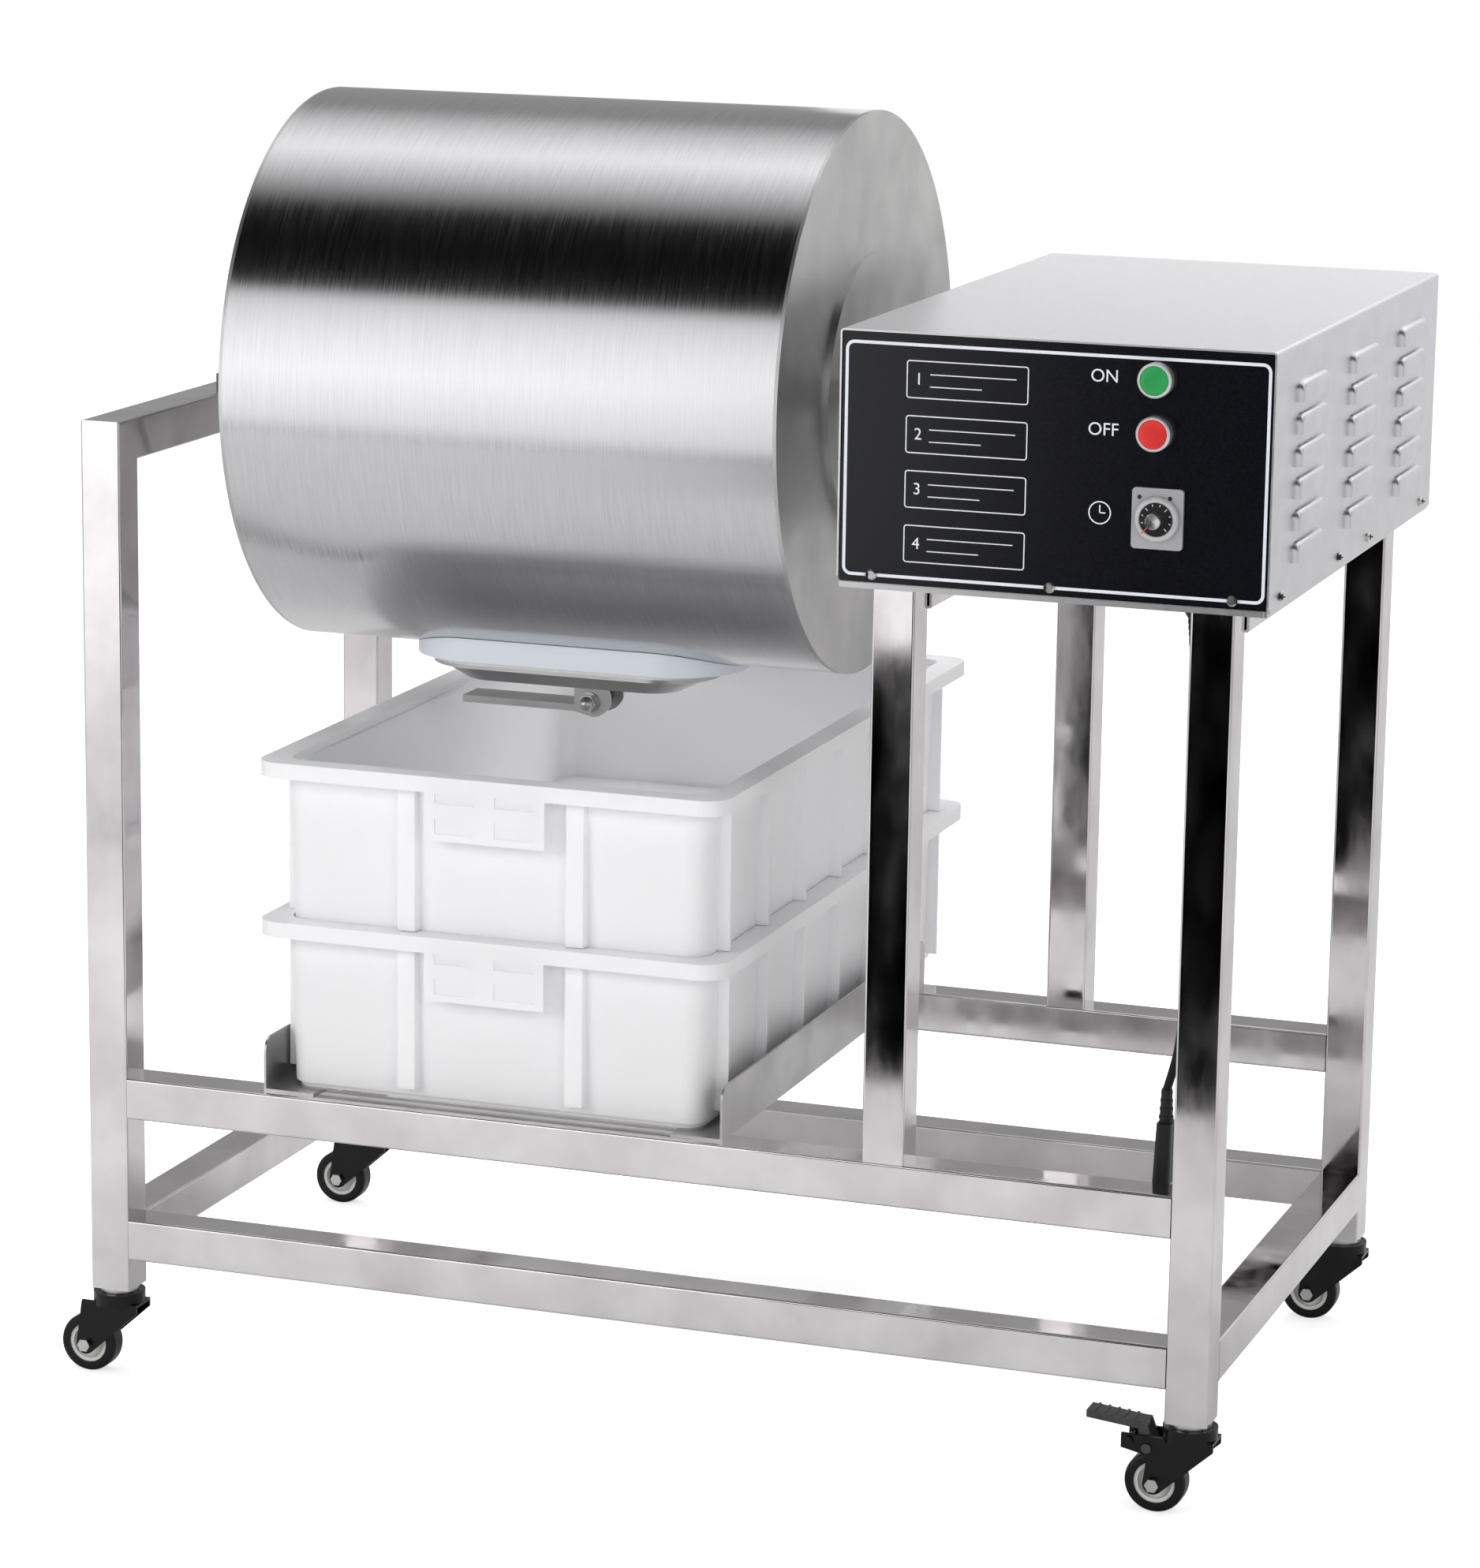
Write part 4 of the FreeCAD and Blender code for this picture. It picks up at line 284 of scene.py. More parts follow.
def steel_black_coated(name, colour, high, roughness):
    """Pressed steel under black paint: glossy with slight waves."""
    material, shader = surface(name, colour, roughness, IOR=1.5, Specular_IOR_Level=0.2, Coat_Weight=0.15,
                               Coat_Roughness=0.1)
    tint(material, shader, grain(material, 4 * MM), colour, high)
    emboss(material, shader, grain(material, 8 * MM), 0.05 * MM, 0.4)
    return material


def steel_oiled():
    """Chain and sprockets: dark steel with a film of oil."""
    material, shader = surface("steel_oiled", "#6E6C68", 0.3, 1.0)
    tint(material, shader, grain(material, 3 * MM), "#56534F", "#7A7875")
    return material


def cast_iron_painted():
    """Bearing housings and the gear motor: thick enamel over a sand-cast skin."""
    material, shader = surface("cast_iron_painted", "#5B666E", 0.4, IOR=1.5)
    skin = grain(material, 1.6 * MM, (1, 1, 1), 4.0)
    tint(material, shader, skin, "#535E66", "#65717A")
    emboss(material, shader, skin, 0.15 * MM, 0.5)
    return material


def printing_ink(name, colour):
    """Screen-printed ink: a thin even film, a little rough."""
    material, shader = surface(name, colour, 0.45, IOR=1.5)
    vary(material, shader, "Roughness", grain(material, 1 * MM), 0.4, 0.52)
    return material


def finishes():
    """One material for each of the record's slots."""
    polished = stainless_polished_tube()
    zinc = steel_zinc_plated()
    return {
        "frame_steel": polished,
        "caster_zinc": zinc,
        "bearing_iron": cast_iron_painted(),
        "cover_steel": stainless_fine_ground(),
        "screw_steel": zinc,
        "bezel": aluminium_satin_ring(),
        "green_button": abs_gloss("abs_gloss_green", "#12A04E", "#0E9547"),
        "red_button": abs_gloss("abs_gloss_red", "#E2231F", "#D41C19"),
        "timer_black": abs_gloss("abs_gloss_black", "#17181A", "#111214"),
        "motor_paint": cast_iron_painted(),
        "chain_steel": steel_oiled(),
        "drum_steel": stainless_brushed_round(),
        "shaft_steel": zinc,
        "neck_plastic": polyethylene_machined(),
        "lid_steel": stainless_satin_sheet(),
        "seal_rubber": rubber_matt("silicone_white", "#D9D9D4", "#E2E2DE"),
        "crate_plastic": polyethylene_milky(),
        "cord_gland_plastic": plastic_textured("nylon_black", "#101112", "#18191A"),
        "cord_rubber": rubber_matt("pvc_black_jacket", "#0E0E0F", "#161617", 0.45),
        "plug_plastic": plastic_textured("pvc_black_plug", "#0F0F10", "#191919"),
        "fork_black": steel_black_coated("steel_black_enamel", "#060606", "#0B0B0C", 0.25),
        "hub_plastic": plastic_textured("nylon_white", "#DAD9D5", "#E4E3E0", 0.4),
        "tyre_rubber": rubber_matt("polyurethane_black", "#080809", "#0E0E0F", 0.3),
        "pedal_steel": steel_black_coated("steel_grey_enamel", "#3A3B3D", "#46474A", 0.4),
    }


# ---------------------------------------------------------------- meshes

def add_piece(name, build, material, body, smooth=False):
    """Object made by build(bmesh), with its material and the body that it rides on."""
    mesh = bpy.data.meshes.new(name)
    shape = bmesh.new()
    build(shape)
    bmesh.ops.recalc_face_normals(shape, faces=shape.faces)
    shape.to_mesh(mesh)
    shape.free()
    piece = bpy.data.objects.new(name, mesh)
    bpy.context.scene.collection.objects.link(piece)
    mesh.materials.append(material)
    if smooth:
        mesh.shade_smooth()
        mesh.set_sharp_from_angle(angle=math.radians(35))
    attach(piece, body)
    return piece


def rounded_outline(width, height, corner, steps=6):
    """Points of a rectangle with round corners, centred on the origin."""
    points = []
    for side_x, side_z, start in ((1, 1, 0), (-1, 1, 90), (-1, -1, 180), (1, -1, 270)):
        for step in range(steps + 1):
            angle = math.radians(start + 90 * step / steps)
            points.append((side_x * (width / 2 - corner) + corner * math.cos(angle),
                           side_z * (height / 2 - corner) + corner * math.sin(angle)))
    return points


def add_band(shape, outer, inner, centre, front_y, back_y):
    """Flat closed band between two outlines of X and Z with the same number of points."""
    rings = []
    for outline, y in ((outer, back_y), (outer, front_y), (inner, front_y), (inner, back_y)):
        rings.append([shape.verts.new((centre[0] + x, y, centre[1] + z)) for x, z in outline])
    count = len(outer)
    for ring, following in zip(rings, rings[1:] + rings[:1]):
        for number in range(count):
            after = (number + 1) % count
            shape.faces.new((ring[number], ring[after], following[after], following[number]))


def add_plate(shape, outline, centre, front_y, back_y):
    """Flat plate of the given outline of X and Z."""
    front = [shape.verts.new((centre[0] + x, front_y, centre[1] + z)) for x, z in outline]
    back = [shape.verts.new((centre[0] + x, back_y, centre[1] + z)) for x, z in outline]
    shape.faces.new(front)
    shape.faces.new(back[::-1])
    for number in range(len(outline)):
        after = (number + 1) % len(outline)
        shape.faces.new((front[number], back[number], back[after], front[after]))


def circle_outline(radius, steps=48):
    return [(radius * math.cos(2 * math.pi * step / steps), radius * math.sin(2 * math.pi * step / steps))
            for step in range(steps)]


def add_turned(shape, profile, centre, steps=64):
    """Closed ring turned about an axis along Y, from corners of radius and Y in order."""
    rings = []
    for radius, y in profile:
        rings.append([shape.verts.new((centre[0] + x, y, centre[1] + z)) for x, z in circle_outline(radius, steps)])
    for ring, following in zip(rings, rings[1:] + rings[:1]):
        for number in range(steps):
            after = (number + 1) % steps
            shape.faces.new((ring[number], ring[after], following[after], following[number]))


def add_block(shape, low, high):
    """Block between two opposite corners."""
    corners = [shape.verts.new((x, y, z)) for x in (low[0], high[0]) for y in (low[1], high[1])
               for z in (low[2], high[2])]
    for face in ((0, 1, 3, 2), (4, 6, 7, 5), (0, 4, 5, 1), (2, 3, 7, 6), (0, 2, 6, 4), (1, 5, 7, 3)):
        shape.faces.new([corners[number] for number in face])


def bar_outline(start, end, width):
    """Outline of a straight bar from start to end."""
    along = Vector(end) - Vector(start)
    across = Vector((-along.y, along.x)).normalized() * width / 2
    corners = [Vector(start) - across, Vector(end) - across, Vector(end) + across, Vector(start) + across]
    return [(corner.x, corner.y) for corner in corners]


# ---------------------------------------------------------------- control panel

def cover_corner():
    """Lower left corner of the cover's front, and the Y of the panel's face."""
    low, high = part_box("drive_cover")
    return low[0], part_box("control_panel")[0][1], low[2]


def on_panel(across, height):
    left, _, bottom = cover_corner()
    return left + across, bottom + height


def panel_band(shape, x0, x1, z0, z1, corner, line):
    """Printed rounded frame between the given edges, measured from the cover's corner."""
    face = cover_corner()[1]
    centre = on_panel((x0 + x1) / 2, (z0 + z1) / 2)
    outer = rounded_outline(x1 - x0, z1 - z0, corner)
    inner = rounded_outline(x1 - x0 - 2 * line, z1 - z0 - 2 * line, corner - line)
    add_band(shape, outer, inner, centre, face - PRINT_THICKNESS, face + PROUD)


LABEL_LEFT = 54 * MM
LABEL_RIGHT = 152 * MM
LABEL_TOP = 178.8 * MM
LABEL_HEIGHT = 29.6 * MM
LABEL_COUNT = 4


def label_boxes(shape):
    settings = bpy.context.scene.tumbler_panel
    for number in range(LABEL_COUNT):
        top = LABEL_TOP - number * settings.label_pitch
        panel_band(shape, LABEL_LEFT, LABEL_RIGHT, top - LABEL_HEIGHT, top, 2.5 * MM, settings.label_line)


def label_rules(shape):
    """Two plain ruled lines in each label box, to the right of its number."""
    settings = bpy.context.scene.tumbler_panel
    face = cover_corner()[1]
    for number in range(LABEL_COUNT):
        top = LABEL_TOP - number * settings.label_pitch
        for share, end in ((0.36, 0.9), (0.68, 0.62)):
            z = top - LABEL_HEIGHT * share
            right = LABEL_LEFT + (LABEL_RIGHT - LABEL_LEFT) * end
            outline = bar_outline(on_panel(LABEL_LEFT + 19 * MM, z), on_panel(right, z), 0.8 * MM)
            add_plate(shape, outline, (0, 0), face - PRINT_THICKNESS, face + PROUD)


def clock_symbol(shape):
    """Plain clock face beside the timer."""
    face = cover_corner()[1]
    centre = on_panel(211 * MM, 70 * MM)
    add_band(shape, circle_outline(9 * MM), circle_outline(8 * MM), centre, face - PRINT_THICKNESS, face + PROUD)
    for end in ((0, 6 * MM), (4.5 * MM, 0)):
        add_plate(shape, bar_outline((0, 0), end, 1 * MM), centre, face - PRINT_THICKNESS, face + PROUD)


def add_lettering(name, text, size, centre, material):
    """Flat lettering on the panel, centred on a place measured from the cover's corner."""
    face = cover_corner()[1]
    curve = bpy.data.curves.new(name, "FONT")
    curve.body = text
    curve.size = size
    curve.align_x = "CENTER"
    curve.align_y = "CENTER"
    curve.extrude = PRINT_THICKNESS / 2
    curve.materials.append(material)
    letters = bpy.data.objects.new(name, curve)
    x, z = on_panel(*centre)
    letters.location = (x, face - PRINT_THICKNESS / 2, z)
    letters.rotation_euler = (math.radians(90), 0, 0)
    bpy.context.scene.collection.objects.link(letters)
    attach(letters, "frame")
    return letters


class TUMBLER_OT_markings(bpy.types.Operator):
    """Print the border, the numbered label boxes and the switch words on the panel"""
    bl_idname = "tumbler.markings"
    bl_label = "Panel Markings"

    def execute(self, context):
        settings = context.scene.tumbler_panel
        ink = printing_ink("printing_ink_white", settings.ink)
        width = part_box("drive_cover")[1][0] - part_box("drive_cover")[0][0] - 5 * MM
        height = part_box("control_panel")[1][2] - cover_corner()[2]

        def border(shape):
            panel_band(shape, 4.3 * MM, width - 3.7 * MM, 7.6 * MM, height - 6.5 * MM,
                       settings.border_corner, settings.border_line)

        add_piece("panel_border", border, ink, "frame")
        add_piece("label_boxes", label_boxes, ink, "frame")
        add_piece("label_rules", label_rules, ink, "frame")
        add_piece("clock_symbol", clock_symbol, ink, "frame")
        for number in range(LABEL_COUNT):
            height = LABEL_TOP - LABEL_HEIGHT / 2 - number * settings.label_pitch
            add_lettering("label_number_%d" % (number + 1), str(number + 1), 13 * MM,
                          (LABEL_LEFT + 10 * MM, height), ink)
        add_lettering("word_on", "ON", 14 * MM, (212 * MM, 175 * MM), ink)
        add_lettering("word_off", "OFF", 14 * MM, (212 * MM, 134 * MM), ink)
        return {"FINISHED"}


# ---------------------------------------------------------------- timer and screws

DIAL_RADIUS = 13 * MM
CAP_RADIUS = 6.2 * MM
BORE_RADIUS = 0.2 * MM
DIAL_LIFT = 3.4 * MM


def knob_place():
    """Centre of the timer's knob in X and Z, its outer radius, and the Y of its front and back."""
    low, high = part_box("timer_knob")
    return ((low[0] + high[0]) / 2, (low[2] + high[2]) / 2), (high[0] - low[0]) / 2, low[1], high[1]


def timer_skirt(shape):
    """Clear skirt of the knob: a rim with a rolled edge round the dial."""
    centre, radius, _, back = knob_place()
    profile = [(DIAL_RADIUS, 0), (radius, 0), (radius, 2.2), (radius - 0.6 * MM, 3.4), (radius - 1.6 * MM, 4.2),
               (DIAL_RADIUS + 1 * MM, 4.6), (DIAL_RADIUS + 0.3 * MM, 4.2), (DIAL_RADIUS, 3.2)]
    add_turned(shape, [(reach, back - rise * MM) for reach, rise in profile], centre)


def timer_dial(shape):
    centre, _, _, back = knob_place()
    profile = [(BORE_RADIUS, back), (DIAL_RADIUS, back), (DIAL_RADIUS, back - DIAL_LIFT),
               (BORE_RADIUS, back - DIAL_LIFT)]
    add_turned(shape, profile, centre)


def timer_cap(shape):
    """Turned cap in the middle of the dial, dished a little towards its centre."""
    centre, _, front, back = knob_place()
    profile = [(BORE_RADIUS, back - DIAL_LIFT), (CAP_RADIUS, back - DIAL_LIFT), (CAP_RADIUS, front + 0.9 * MM),
               (CAP_RADIUS - 0.7 * MM, front + 0.2 * MM), (CAP_RADIUS * 0.5, front + 0.4 * MM),
               (BORE_RADIUS, front + 0.6 * MM)]
    add_turned(shape, profile, centre)


def timer_ticks(shape):
    """Ten marks round three quarters of the dial."""
    centre, _, _, back = knob_place()
    for number in range(10):
        angle = math.radians(-45 + 30 * number)
        towards = Vector((math.cos(angle), math.sin(angle)))
        length = 2.6 * MM if number % 3 == 0 else 1.6 * MM
        outline = bar_outline(towards * (12 * MM - length), towards * 12 * MM, 0.7 * MM)
        add_plate(shape, outline, centre, back - DIAL_LIFT - PROUD, back - DIAL_LIFT + PROUD)


def timer_pointer(shape):
    """Thin pointer line from the cap to the skirt's rim, pointing down and to the left."""
    centre, radius, _, back = knob_place()
    towards = Vector((-math.sqrt(0.5), -math.sqrt(0.5)))
    outline = bar_outline(towards * CAP_RADIUS * 0.98, towards * (radius - 1.8 * MM), 0.8 * MM)
    add_plate(shape, outline, centre, back - 4.8 * MM, back - 4.3 * MM)


def timer_lenses(shape):
    """Two small lamp lenses near the top of the timer's face plate."""
    low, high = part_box("timer_body")
    middle = knob_place()[0][0]
    for across in (-12 * MM, 12 * MM):
        add_plate(shape, circle_outline(1.7 * MM, 20), (middle + across, high[2] - 5.8 * MM),
                  low[1] - PROUD, low[1] + 0.5 * MM)


class TUMBLER_OT_timer(bpy.types.Operator):
    """Add the timer's skirt, dial, marks, cap, pointer and lamp lenses"""
    bl_idname = "tumbler.timer"
    bl_label = "Timer Dial"

    def execute(self, context):
        silver, shader = surface("aluminium_turned", "#D2D2D4", 0.22, 1.0)
        vary(silver, shader, "Roughness", grain(silver, 1 * MM), 0.16, 0.3)
        skirt, shader = surface("acrylic_clear_skirt", "#B9BABD", 0.14, IOR=1.49, Coat_Weight=0.6)
        vary(skirt, shader, "Roughness", grain(skirt, 5 * MM), 0.1, 0.2)
        orange = abs_gloss("abs_gloss_orange", "#E8532A", "#DD4A22")
        ink = printing_ink("printing_ink_dial", "#D8D8D8")
        black = abs_gloss("abs_gloss_dial", "#0A0A0B", "#070708")
        smoked = abs_gloss("polycarbonate_smoked", "#1A1012", "#120B0C")
        dial = add_piece("timer_dial", timer_dial, black, "timer_knob")
        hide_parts("timer_knob")
        add_piece("timer_skirt", timer_skirt, skirt, "timer_knob", smooth=True)
        add_piece("timer_cap", timer_cap, silver, "timer_knob")
        add_piece("timer_ticks", timer_ticks, ink, "timer_knob")
        add_piece("timer_pointer", timer_pointer, orange, "timer_knob")
        add_piece("timer_lenses", timer_lenses, smoked, "frame")
        plate, shader = surface("aluminium_painted_grey", "#A6A6A8", 0.4, IOR=1.5)
        vary(plate, shader, "Roughness", grain(plate, 1 * MM), 0.35, 0.5)
        frame["nodes"]["timer_body"].material_slots[0].material = plate
        return {"FINISHED"}


# ---------------------------------------------------------------- cover details

def solid_boxes(node):
    """Lowest and highest corner of each separate solid of a CAD node."""
    shape = bmesh.new()
    shape.from_mesh(frame["nodes"][node].data)
    left = set(shape.verts)
    boxes = []
    while left:
        island = {left.pop()}
        edge = list(island)
        while edge:
            vert = edge.pop()
            for link in vert.link_edges:
                other = link.other_vert(vert)
                if other not in island:
                    island.add(other)
                    edge.append(other)
        left -= island
        places = [vert.co for vert in island]
        boxes.append(([min(place[axis] for place in places) for axis in range(3)],
                      [max(place[axis] for place in places) for axis in range(3)]))
    shape.free()
    return boxes


RECESS_REACH = 2.1 * MM
RECESS_WIDTH = 0.9 * MM
RECESS_DEPTH = 0.5 * MM


def painted_screw_recess_shade(shape):
    """Dark cross of painted shade in each pan head, standing for its cross recess, on the end that points away from
    the drive box.
    """
    cover_low, cover_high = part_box("drive_cover")
    for low, high in solid_boxes("pan_screws"):
        axis = 0 if high[0] - low[0] > high[1] - low[1] else 1
        middle = [(low[side] + high[side]) / 2 for side in range(3)]
        outwards = middle[axis] > (cover_low[axis] + cover_high[axis]) / 2
        tip = high[axis] if outwards else low[axis]
        inner = tip - RECESS_DEPTH if outwards else tip + RECESS_DEPTH
        outer = tip + PROUD / 2 if outwards else tip - PROUD / 2
        for reach, width in ((RECESS_REACH, RECESS_WIDTH / 2), (RECESS_WIDTH / 2, RECESS_REACH)):
            one = [middle[0] - reach, middle[1] - reach, middle[2] - width]
            other = [middle[0] + reach, middle[1] + reach, middle[2] + width]
            one[axis] = min(inner, outer)
            other[axis] = max(inner, outer)
            add_block(shape, one, other)


LOUVRE_COLUMNS = 3
LOUVRE_ROWS = 6
LOUVRE_FIRST = 113.6 * MM
LOUVRE_COLUMN_PITCH = 180 * MM
LOUVRE_ROW_PITCH = 25 * MM
LOUVRE_DROP = 30 * MM
LOUVRE_LIFT = 5 * MM
HOOD_LENGTH = 88.8 * MM
HOOD_HEIGHT = 16.4 * MM
HOOD_LIFT = 5.1 * MM
HOOD_CORNER = 9 * MM
HOOD_ROUNDING = 3.4 * MM


def hood_path(inset):
    """Y and Z along a hood's rim: up one end, over the top with round corners, and down the other."""
    half = HOOD_LENGTH / 2 - inset
    corner = HOOD_CORNER - inset
    path = [(-half, -HOOD_HEIGHT)]
    for side, angles in ((-1, range(180, 89, -15)), (1, range(90, -1, -15))):
        for angle in angles:
            turn = math.radians(angle)
            path.append((side * (half - corner) + corner * math.cos(turn),
                         -inset - corner + corner * math.sin(turn)))
    return path + [(half, -HOOD_HEIGHT)]


def add_hood(shape, face_x, y, z):
    """Pressed hood, rounded above and at both ends, and open below."""
    rings = []
    for step in range(7):
        angle = math.radians(15 * step)
        lift = HOOD_LIFT * math.sin(angle)
        inset = HOOD_ROUNDING * (1 - math.cos(angle))
        rings.append([shape.verts.new((face_x + lift, y + along, z + up)) for along, up in hood_path(inset)])
    for ring, following in zip(rings, rings[1:]):
        for number in range(len(ring) - 1):
            shape.faces.new((ring[number], ring[number + 1], following[number + 1], following[number]))
    shape.faces.new(rings[-1])
    shape.faces.new(rings[0][::-1])
    shape.faces.new([ring[0] for ring in rings] + [ring[-1] for ring in reversed(rings)])


def louvre_places():
    """Middle of each louvre's upper edge on the cover's right face."""
    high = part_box("drive_cover")[1]
    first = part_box("control_panel")[0][1] + LOUVRE_FIRST
    return [(high[0] - LOUVRE_LIFT, first + column * LOUVRE_COLUMN_PITCH, high[2] - LOUVRE_DROP - row * LOUVRE_ROW_PITCH)
            for column in range(LOUVRE_COLUMNS) for row in range(LOUVRE_ROWS)]


def louvre_hoods(shape):
    """Rounded skins over the three columns of pressed louvres in the cover's right side."""
    for x, y, z in louvre_places():
        add_hood(shape, x, y, z)


def louvre_mouth_shade(shape):
    """Dark slots of painted shade under the hoods, where the louvres open."""
    half = HOOD_LENGTH / 2 - HOOD_CORNER
    for x, y, z in louvre_places():
        foot = z - HOOD_HEIGHT
        add_block(shape, (x + 1 * MM, y - half, foot - PROUD), (x + 4 * MM, y + half, foot + 1 * MM))


class TUMBLER_OT_cover_details(bpy.types.Operator):
    """Round off the pressed louvres, and paint shade in their mouths and as a dark cross on each screw head"""
    bl_idname = "tumbler.cover_details"
    bl_label = "Cover Details"

    def execute(self, context):
        sheet = frame["nodes"]["drive_cover"].material_slots[0].material
        # Dark steel for the painted shade in the louvres' mouths and the screws' recesses.
        shade, shader = surface("steel_in_shade", "#1C1C1D", 0.6)
        vary(shade, shader, "Roughness", grain(shade, 2 * MM), 0.5, 0.7)
        add_piece("louvre_hoods", louvre_hoods, sheet, "frame", smooth=True)
        # Dark slots of painted shade under the louvre hoods.
        add_piece("louvre_mouth_shade", louvre_mouth_shade, shade, "frame")
        # Dark crosses of painted shade stand for the screws' cross recesses.
        add_piece("painted_screw_recess_shade", painted_screw_recess_shade, shade, "frame")
        return {"FINISHED"}


# ---------------------------------------------------------------- cord

UPPER_CORD = [(-30, 50, 712), (-29.5, 49.5, 670), (-27, 48.5, 630), (-18, 42, 600), (-7, 33, 574)]
LOWER_CORD = [(-24, 31, 408), (-27, 34, 384), (-30, 34.5, 361), (-37, 35, 337)]
HANK_CENTRE = (-12, 50)
HANK_TOP = 577.5
HANK_BOTTOM = 405.5
PINCH = ((0.0, 1.0), (0.18, 0.8), (0.36, 0.5), (0.5, 0.42), (0.64, 0.5), (0.82, 0.8), (1.0, 1.0))


def leg_axis():
    low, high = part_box("right_legs")
    half_tube = 17.5 * MM
    return Vector((high[0] - half_tube, low[1] + half_tube, 0))


def by_leg(x, y, z):
    return leg_axis() + Vector((x, y, z)) * MM


def fold_points(x, y, z, radius, upwards, outset):
    """Corners round half a fold, a little outside the arc that the cord is to follow."""
    corners = []
    reach = radius / math.cos(math.radians(22.5))
    for step in range(1, 4):
        angle = math.radians(45 * step)
        rise = reach * math.sin(angle) * (1 if upwards else -1)
        side = -radius * math.cos(angle) / math.cos(math.radians(22.5))
        corners.append((x + outset * step / 4, y + side * (1 if not upwards else -1), z + rise))
    return corners


def hank_points(settings):
    """Down one side and up the other, once for each layer, ending at the foot of the last one."""
    radius = settings.fold_radius / MM
    pitch = settings.diameter / MM
    centre_x, centre_y = HANK_CENTRE
    low = HANK_BOTTOM + radius
    span = HANK_TOP - radius - low
    first = centre_x + pitch * (settings.layers - 1) / 2
    points = []
    for layer in range(settings.layers):
        x = first - layer * pitch
        last = layer == settings.layers - 1
        for share, squeeze in PINCH[::-1]:
            if layer == 0 and share > 0.9:
                continue
            points.append((x, centre_y - radius * squeeze, low + span * share))
        if last:
            break
        points.extend(fold_points(x, centre_y, low, radius, False, 0))
        for share, squeeze in PINCH:
            points.append((x - pitch * 0.5 * share, centre_y + radius * squeeze, low + span * share))
        points.extend(fold_points(x - pitch * 0.5, centre_y, low + span, radius, True, -pitch * 0.5))
    return points


def add_cord_curve(name, points, diameter):
    curve = bpy.data.curves.new(name, "CURVE")
    curve.dimensions = "3D"
    spline = curve.splines.new("NURBS")
    spline.points.add(len(points) - 1)
    for control, point in zip(spline.points, points):
        control.co = (*by_leg(*point), 1.0)
    spline.order_u = 3
    spline.use_endpoint_u = True
    spline.resolution_u = 8
    curve.bevel_depth = diameter / 2
    curve.bevel_resolution = 4
    curve.use_fill_caps = True
    cord = bpy.data.objects.new(name, curve)
    bpy.context.scene.collection.objects.link(cord)
    return cord


def hank_tie(shape):
    """Flat band round the pinched middle of the hank."""
    settings = bpy.context.scene.tumbler_cord
    half_x = settings.diameter * settings.layers / 2 + 2.5 * MM
    half_y = settings.fold_radius * 0.42 + settings.diameter / 2 + 1 * MM
    middle = by_leg(*HANK_CENTRE, (HANK_TOP + HANK_BOTTOM) / 2)
    outer = rounded_outline(2 * half_x, 2 * half_y, 6 * MM)
    inner = rounded_outline(2 * half_x - 2 * MM, 2 * half_y - 2 * MM, 5 * MM)
    half = settings.tie_width / 2
    add_band(shape, outer, inner, (0, 0), -half, half)
    turn = Matrix.Rotation(math.radians(90), 4, "X")
    bmesh.ops.transform(shape, matrix=Matrix.Translation(middle) @ turn, verts=shape.verts)


def tapered_sleeve(shape):
    """Ribbed sleeve that keeps the cord from kinking under its gland."""
    radius = bpy.context.scene.tumbler_cord.diameter / 2
    profile = [(0.1, 0), (2.6, 0), (2.6, -3), (1.9, -3.6), (2.3, -5), (2.1, -8), (1.5, -8.6), (1.9, -10),
               (1.7, -13), (1.1, -13.6), (1.5, -15), (1.2, -19), (0.8, -22), (0.1, -22)]
    steps = 32
    top = by_leg(*UPPER_CORD[0])
    rings = []
    for reach, drop in profile:
        ring = []
        for x, y in circle_outline(radius + reach * MM, steps):
            ring.append(shape.verts.new((top.x + x, top.y + y, top.z + drop * MM)))
        rings.append(ring)
    for ring, following in zip(rings, rings[1:] + rings[:1]):
        for number in range(steps):
            after = (number + 1) % steps
            shape.faces.new((ring[number], ring[after], following[after], following[number]))


class TUMBLER_OT_cord(bpy.types.Operator):
    """Hang the power cord from the box floor, with its hank, tie and sleeve"""
    bl_idname = "tumbler.cord"
    bl_label = "Power Cord"

    def execute(self, context):
        settings = context.scene.tumbler_cord
        jacket = rubber_matt("pvc_cord_jacket", "#0E0E0F", "#161617", 0.45)
        points = UPPER_CORD + hank_points(settings) + LOWER_CORD
        cord = add_cord_curve("mains_cord", points, settings.diameter)
        cord.data.materials.append(jacket)
        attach(cord, "frame")
        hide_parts("power_cord", "cord_hank")
        band = rubber_matt("rubber_band_black", "#151515", "#1E1E1E")
        tie = add_piece("hank_tie", hank_tie, band, "frame")
        sleeve = add_piece("cord_sleeve", tapered_sleeve, band, "frame", smooth=True)
        return {"FINISHED"}


# ---------------------------------------------------------------- finishes on the CAD nodes

class TUMBLER_OT_finishes(bpy.types.Operator):
    """Give every CAD node the finish of its material slot"""
    bl_idname = "tumbler.finishes"
    bl_label = "Finishes"

    def execute(self, context):
        materials = finishes()
        for part in frame["record"]["subparts"]:
            node = frame["nodes"][part["node"]]
            for slot in node.material_slots:
                slot.material = materials[part["material_slot"]]
        panel = frame["nodes"]["control_panel"]
        panel.material_slots[0].material = panel_enamel_black()
        for name in ("drum_ends", "cam_lever", "crate_guides"):
            frame["nodes"][name].material_slots[0].material = materials["lid_steel"]
        return {"FINISHED"}


# ---------------------------------------------------------------- stage

BRIGHTEST = 2.0


def floor_paper():
    """Pale paper that glows for the camera alone, so it stays white round the object's shadow."""
    material, shader = surface("paper_white", "#F2F2F2", 0.9)
    path = add_node(material, "ShaderNodeLightPath")
    glow = add_node(material, "ShaderNodeMath", {"operation": "MULTIPLY"}, {1: 0.62},
                    {0: path.outputs["Is Camera Ray"]})
    shader.inputs["Emission Color"].default_value = (1, 1, 1, 1)
    material.node_tree.links.new(glow.outputs[0], shader.inputs["Emission Strength"])
    return material


